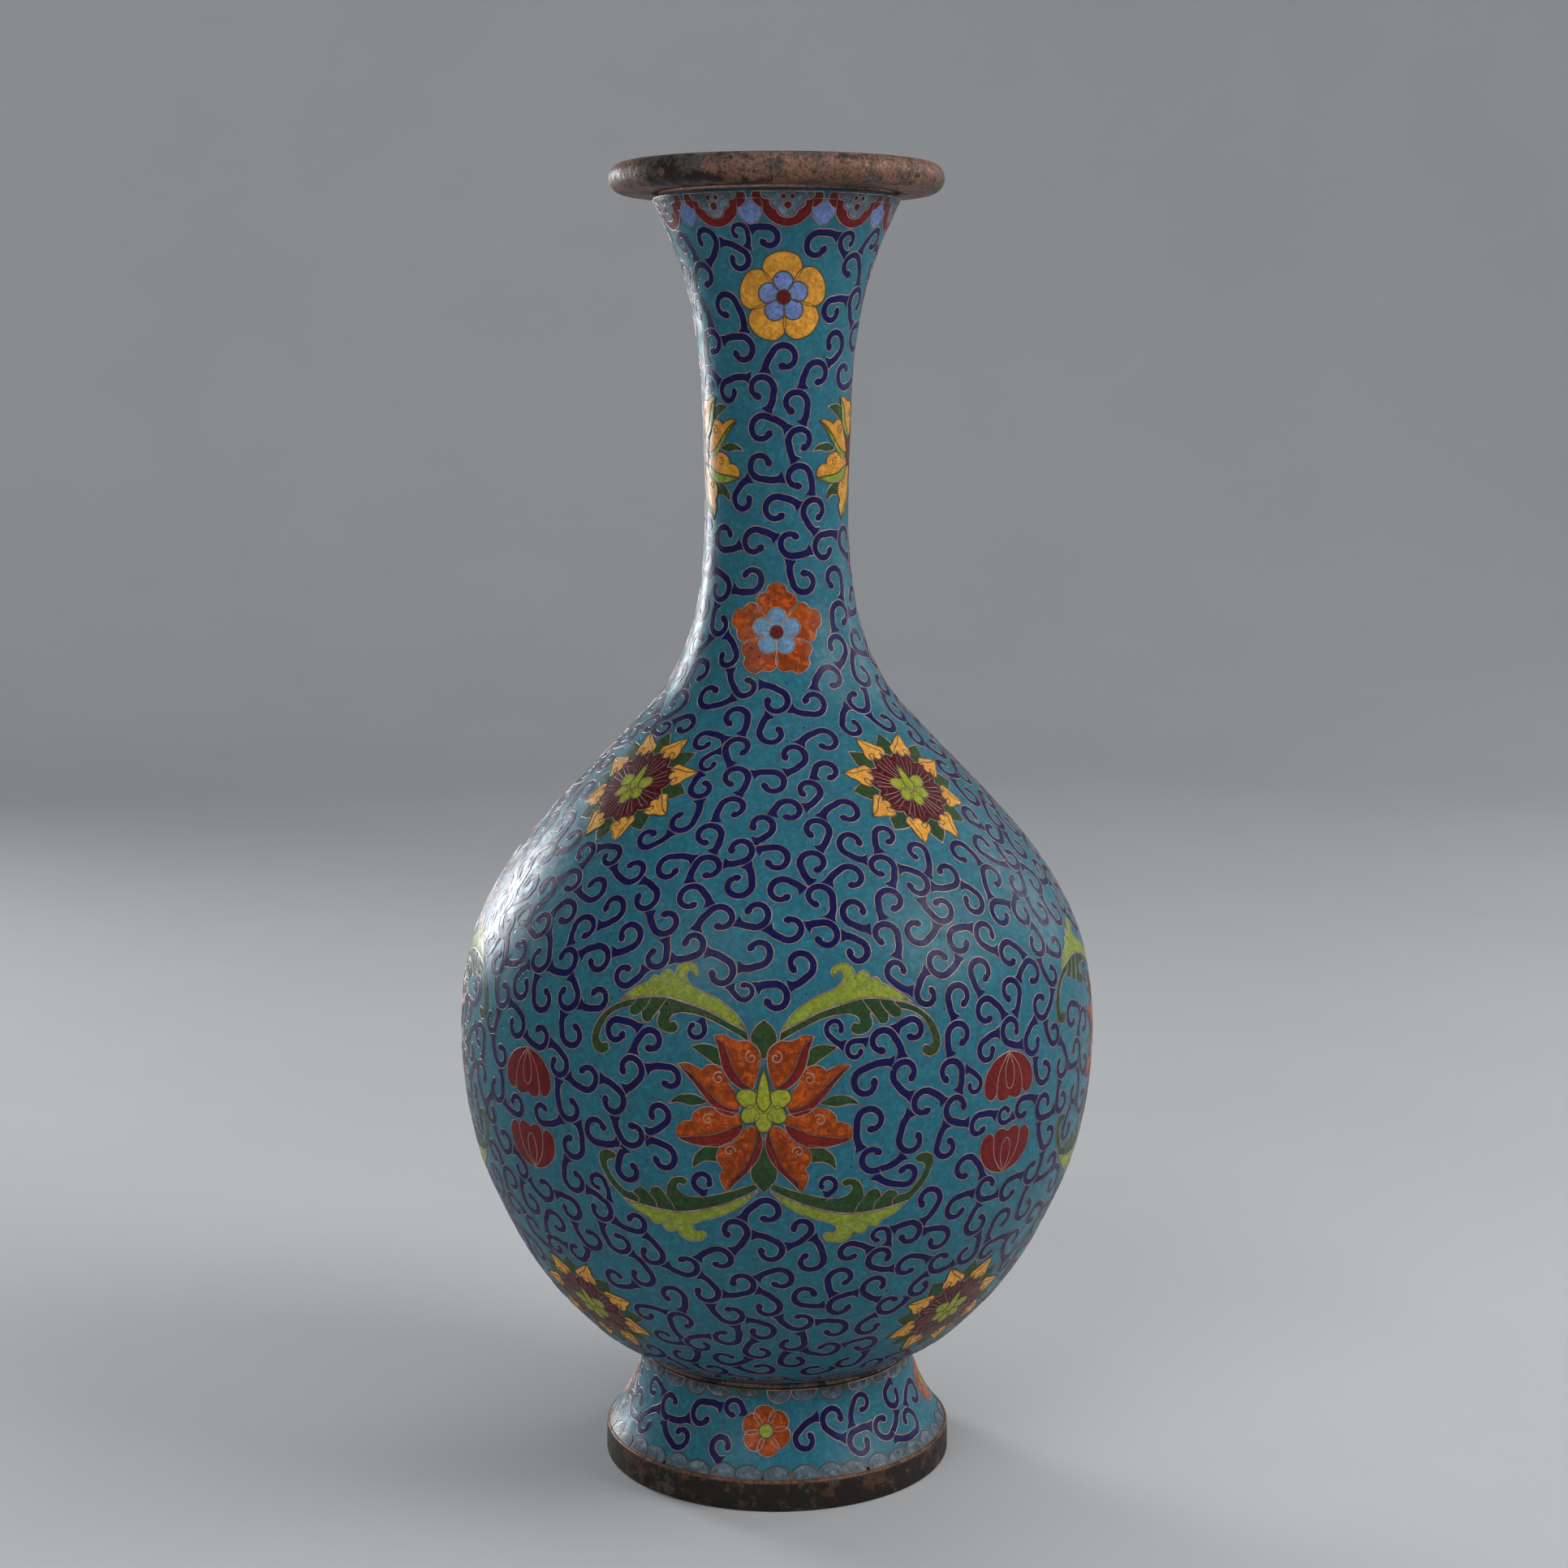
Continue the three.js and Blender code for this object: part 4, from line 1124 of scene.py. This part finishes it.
def spread(skin, hooks, reach, clear, limits, motifs):
    """Moves every hook a little away from the others within reach."""
    tree = tree_of([hook.spot for hook in hooks])
    moved = []
    for hook in hooks:
        push = np.zeros(2)
        for _, number, away in tree.find_range(hook.spot, reach):
            if number != hook.number:
                other = hooks[number]
                push -= hook.flat(skin, other.turn, other.s) / away * (reach - away) * 0.2
        s = float(np.clip(hook.s + push[1], *limits))
        there = Hook(skin, (hook.turn + push[0] / hook.radius) % (2 * math.pi), s, hook.number)
        there.clear = motifs.find(there.spot)[2]
        moved.append(there if there.clear > clear else hook)
    hooks[:] = moved


def grow(skin, hooks, motifs, rng):
    """Joins the hooks into branching tendrils: each stem leaves the outside of an earlier curl."""
    centres = tree_of([hook.spot for hook in hooks])
    laid = {}

    def crowded(spots, skip):
        for spot in spots:
            for _, number, away in centres.find_range(spot, 5.6):
                if number not in skip and away < hooks[number].outer + STEM_HALF_WIDTH * 0.6:
                    return True
            stems = around(laid, cell_of(spot, STEM_GAP))
            if any(owner not in skip and (other - spot).length < STEM_GAP for other, owner in stems):
                return True
        return False

    def settle(hook, line, stem_count):
        hook.line = line
        for spot in hook.round(skin, line[:stem_count]):
            spot = Vector(spot.tolist())
            laid.setdefault(cell_of(spot, STEM_GAP), []).append((spot, hook.number))

    def offer(parent, heap):
        for _, number, away in centres.find_range(parent.spot, STEM_REACH):
            child = hooks[number]
            if child.line is not None or number == parent.number:
                continue
            for hand in (-1, 1):
                for lean in (14, 24, 34, 44, 54, 64):
                    cost = away + 0.05 * lean + rng.uniform(0, 4) + (1.5 if hand == parent.hand else 0)
                    heapq.heappush(heap, (cost, rng.random(), parent.number, number, hand, lean))

    def attach(parent, child, hand, lean):
        towards = parent.flat(skin, child.turn, child.s)
        angle = math.atan2(towards[1], towards[0]) - hand * math.radians(lean)
        if not parent.covers(angle):
            return False
        edge = (parent.outer + 0.1) * np.array([[math.cos(angle), math.sin(angle)]])
        s = parent.s + edge[0, 1]
        start = child.flat(skin, parent.turn + edge[0, 0] / float(skin.radius(s)), s)
        return begin(child, start, hand, {parent.number, child.number})

    def begin(child, start, hand, skip, margin=0.9):
        found = child.curl(start, hand, rng.uniform(262, 305))
        if found is None:
            return False
        line, count = found
        spots = [Vector(spot.tolist()) for spot in child.round(skin, line[:count])]
        if any(motifs.find(spot)[2] < margin for spot in spots[1:]) or crowded(spots, skip):
            return False
        settle(child, line, count)
        return True

    heap = []
    order = sorted(hooks, key=lambda hook: hook.clear + rng.uniform(0, 30))
    for root in order:
        if root.line is not None:
            continue
        place, _, away = motifs.find(root.spot)
        to_motif = root.flat(skin, math.atan2(place.x, -place.y), float(np.interp(place.z, skin.z, skin.s)))
        for attempt in range(30):
            direction = rng.uniform(0, 2 * math.pi)
            reach = root.outer + rng.uniform(0.8, 3.2)
            start = reach * np.array([math.cos(direction), math.sin(direction)])
            if attempt < 2 and away < 10:
                start = to_motif * (1 - 0.35 / away)
            if begin(root, start, rng.choice((-1, 1)), {root.number}, 0.25):
                break
        else:
            continue
        offer(root, heap)
        while heap:
            _, _, parent, child, hand, lean = heapq.heappop(heap)
            if hooks[child].line is None and attach(hooks[parent], hooks[child], hand, lean):
                offer(hooks[child], heap)


def lay(sheet, hook):
    """The cobalt strip of one tendril, flared where it starts and round at its tip, and its wire."""
    sheet.angle, sheet.s0 = hook.turn, hook.s
    line = hook.line
    lengths = np.concatenate([[0], np.cumsum(np.linalg.norm(np.diff(line, axis=0), axis=1))])
    total = lengths[-1]
    bulb = TIP_RADIUS * hook.half_width / STEM_HALF_WIDTH
    near_tip = total - bulb * np.array([1.7, 1.3, 0.95, 0.65, 0.4, 0.2, 0.06])
    at = np.concatenate([[0, 0.35], np.arange(0.8, near_tip[0] - 0.4, 0.75), near_tip])
    smooth = np.stack([np.interp(at, lengths, line[:, axis]) for axis in (0, 1)], -1)
    half = hook.half_width * (1.05 - 0.22 * at / total) + 0.9 * np.exp(-((at / 0.9) ** 2))
    to_end = total - at
    tip = np.sqrt(np.maximum(bulb**2 - (to_end - bulb) ** 2, 0.0))
    half = np.where(to_end < bulb, tip, np.maximum(half, np.where(to_end < 2 * bulb, tip, 0)))
    sheet.band(smooth, half, "cobalt")


def scrolls(skin, name, low, high, gap, clear, pieces, seed):
    """The scroll network between two heights, built as this many pieces side by side."""
    rng = random.Random(seed)
    motifs = tree_of([Vector(point.tolist()) for point in KEEP_CLEAR])
    hooks = scatter(skin, low, high, gap, clear, motifs, rng)
    grow(skin, hooks, motifs, rng)
    for number in range(pieces):
        sheet = Sheet(skin, 0, low)
        for hook in hooks:
            if hook.line is not None and int(hook.turn / (2 * math.pi) * pieces) == number:
                lay(sheet, hook)
        sheet.build(f"{name}_{number + 1}", "enamel_turquoise")


metal_body()
enamel_ground()
for side, degrees in (("front", -2), ("right", 88), ("back", 178), ("left", 268)):
    big_lotus(side, degrees)
for k, corner in enumerate(("front_right", "back_right", "back_left", "front_left")):
    turn = 90 * k + CORNER
    small_lotus(f"{corner}_shoulder_lotus", turn, SHOULDER_LOTUS_AT)
    small_lotus(f"{corner}_lower_lotus", turn, LOWER_LOTUS_AT)
    bud(f"{corner}_upper_bud", turn, UPPER_BUD_AT, upside_down=False)
    bud(f"{corner}_lower_bud", turn, LOWER_BUD_AT, upside_down=True)
neck_flowers()
mouth_lappets()
foot_ornament(random.Random(5))
scrolls(body, "body_scrolls", BODY_BOTTOM + 3.5, 379, gap=8.6, clear=4.4, pieces=10, seed=11)
scrolls(foot, "foot_scrolls", 17, 28, gap=8.0, clear=4.0, pieces=1, seed=3)


# ---------------------------------------------------------------- studio
WHITE = (1.0, 1.0, 1.0)
WARM = (1.0, 0.98, 0.96)
COOL = (0.93, 0.97, 1.0)
LAMPS = (
    # name, place in metres, size in metres, power in watts, colour, beam in degrees
    ("key", (1.5, -0.5, 1.2), (1.0, 1.0), 21, WARM, 180),
    ("left_edge", (-1.3, 1.4, 0.45), (0.5, 0.7), 3, COOL, 60),
    ("right_edge", (1.35, 0.9, 0.7), (0.5, 0.8), 4, COOL, 180),
    ("front", (-0.9, -1.7, 1.4), (1.2, 1.2), 13, WARM, 180),
    ("top", (0.1, 0.3, 2.0), (1.4, 1.4), 6, WHITE, 180),
)
LAMPS_AIM = Vector((0, 0, 0.2))

# the camera, fitted to the photograph's outline
LENS = 60.26
CAMERA_PLACE = (0.0022, -0.802, 0.3321)
CAMERA_LOOKS_DOWN = 8.439


def studio():
    """A pale floor that curves up into a wall, and soft lamps in a dim room."""
    curve = [(0.0001, 0), (1500, 0)] + arc(1500, 900, 900, -90, 0, 16) + [(2400, 2600)]
    sweep = revolve("studio_sweep", curve[::-1], "studio", closed=False)
    for name, place, size, power, colour, beam in LAMPS:
        light = bpy.data.lights.new(name, "AREA")
        light.shape = "RECTANGLE"
        light.size, light.size_y = size
        light.energy = power
        light.color = colour
        light.spread = math.radians(beam)
        lamp = bpy.data.objects.new(name, light)
        lamp.location = place
        lamp.rotation_euler = (LAMPS_AIM - Vector(place)).to_track_quat("-Z", "Y").to_euler()
        bpy.context.scene.collection.objects.link(lamp)
    world = bpy.data.worlds.new("soft_room")
    bpy.context.scene.world = world
    world.use_nodes = True
    sky = world.node_tree.nodes["Background"]
    sky.inputs["Color"].default_value = (0.75, 0.85, 1.0, 1)
    sky.inputs["Strength"].default_value = 0.16


def camera():
    lens = bpy.data.cameras.new("camera")
    lens.sensor_width = 36
    lens.lens = LENS
    eye = bpy.data.objects.new("camera", lens)
    eye.location = CAMERA_PLACE
    eye.rotation_euler = (math.radians(90 - CAMERA_LOOKS_DOWN), 0, 0)
    bpy.context.scene.collection.objects.link(eye)
    bpy.context.scene.camera = eye
    bpy.context.scene.view_settings.view_transform = "Standard"


studio()
camera()
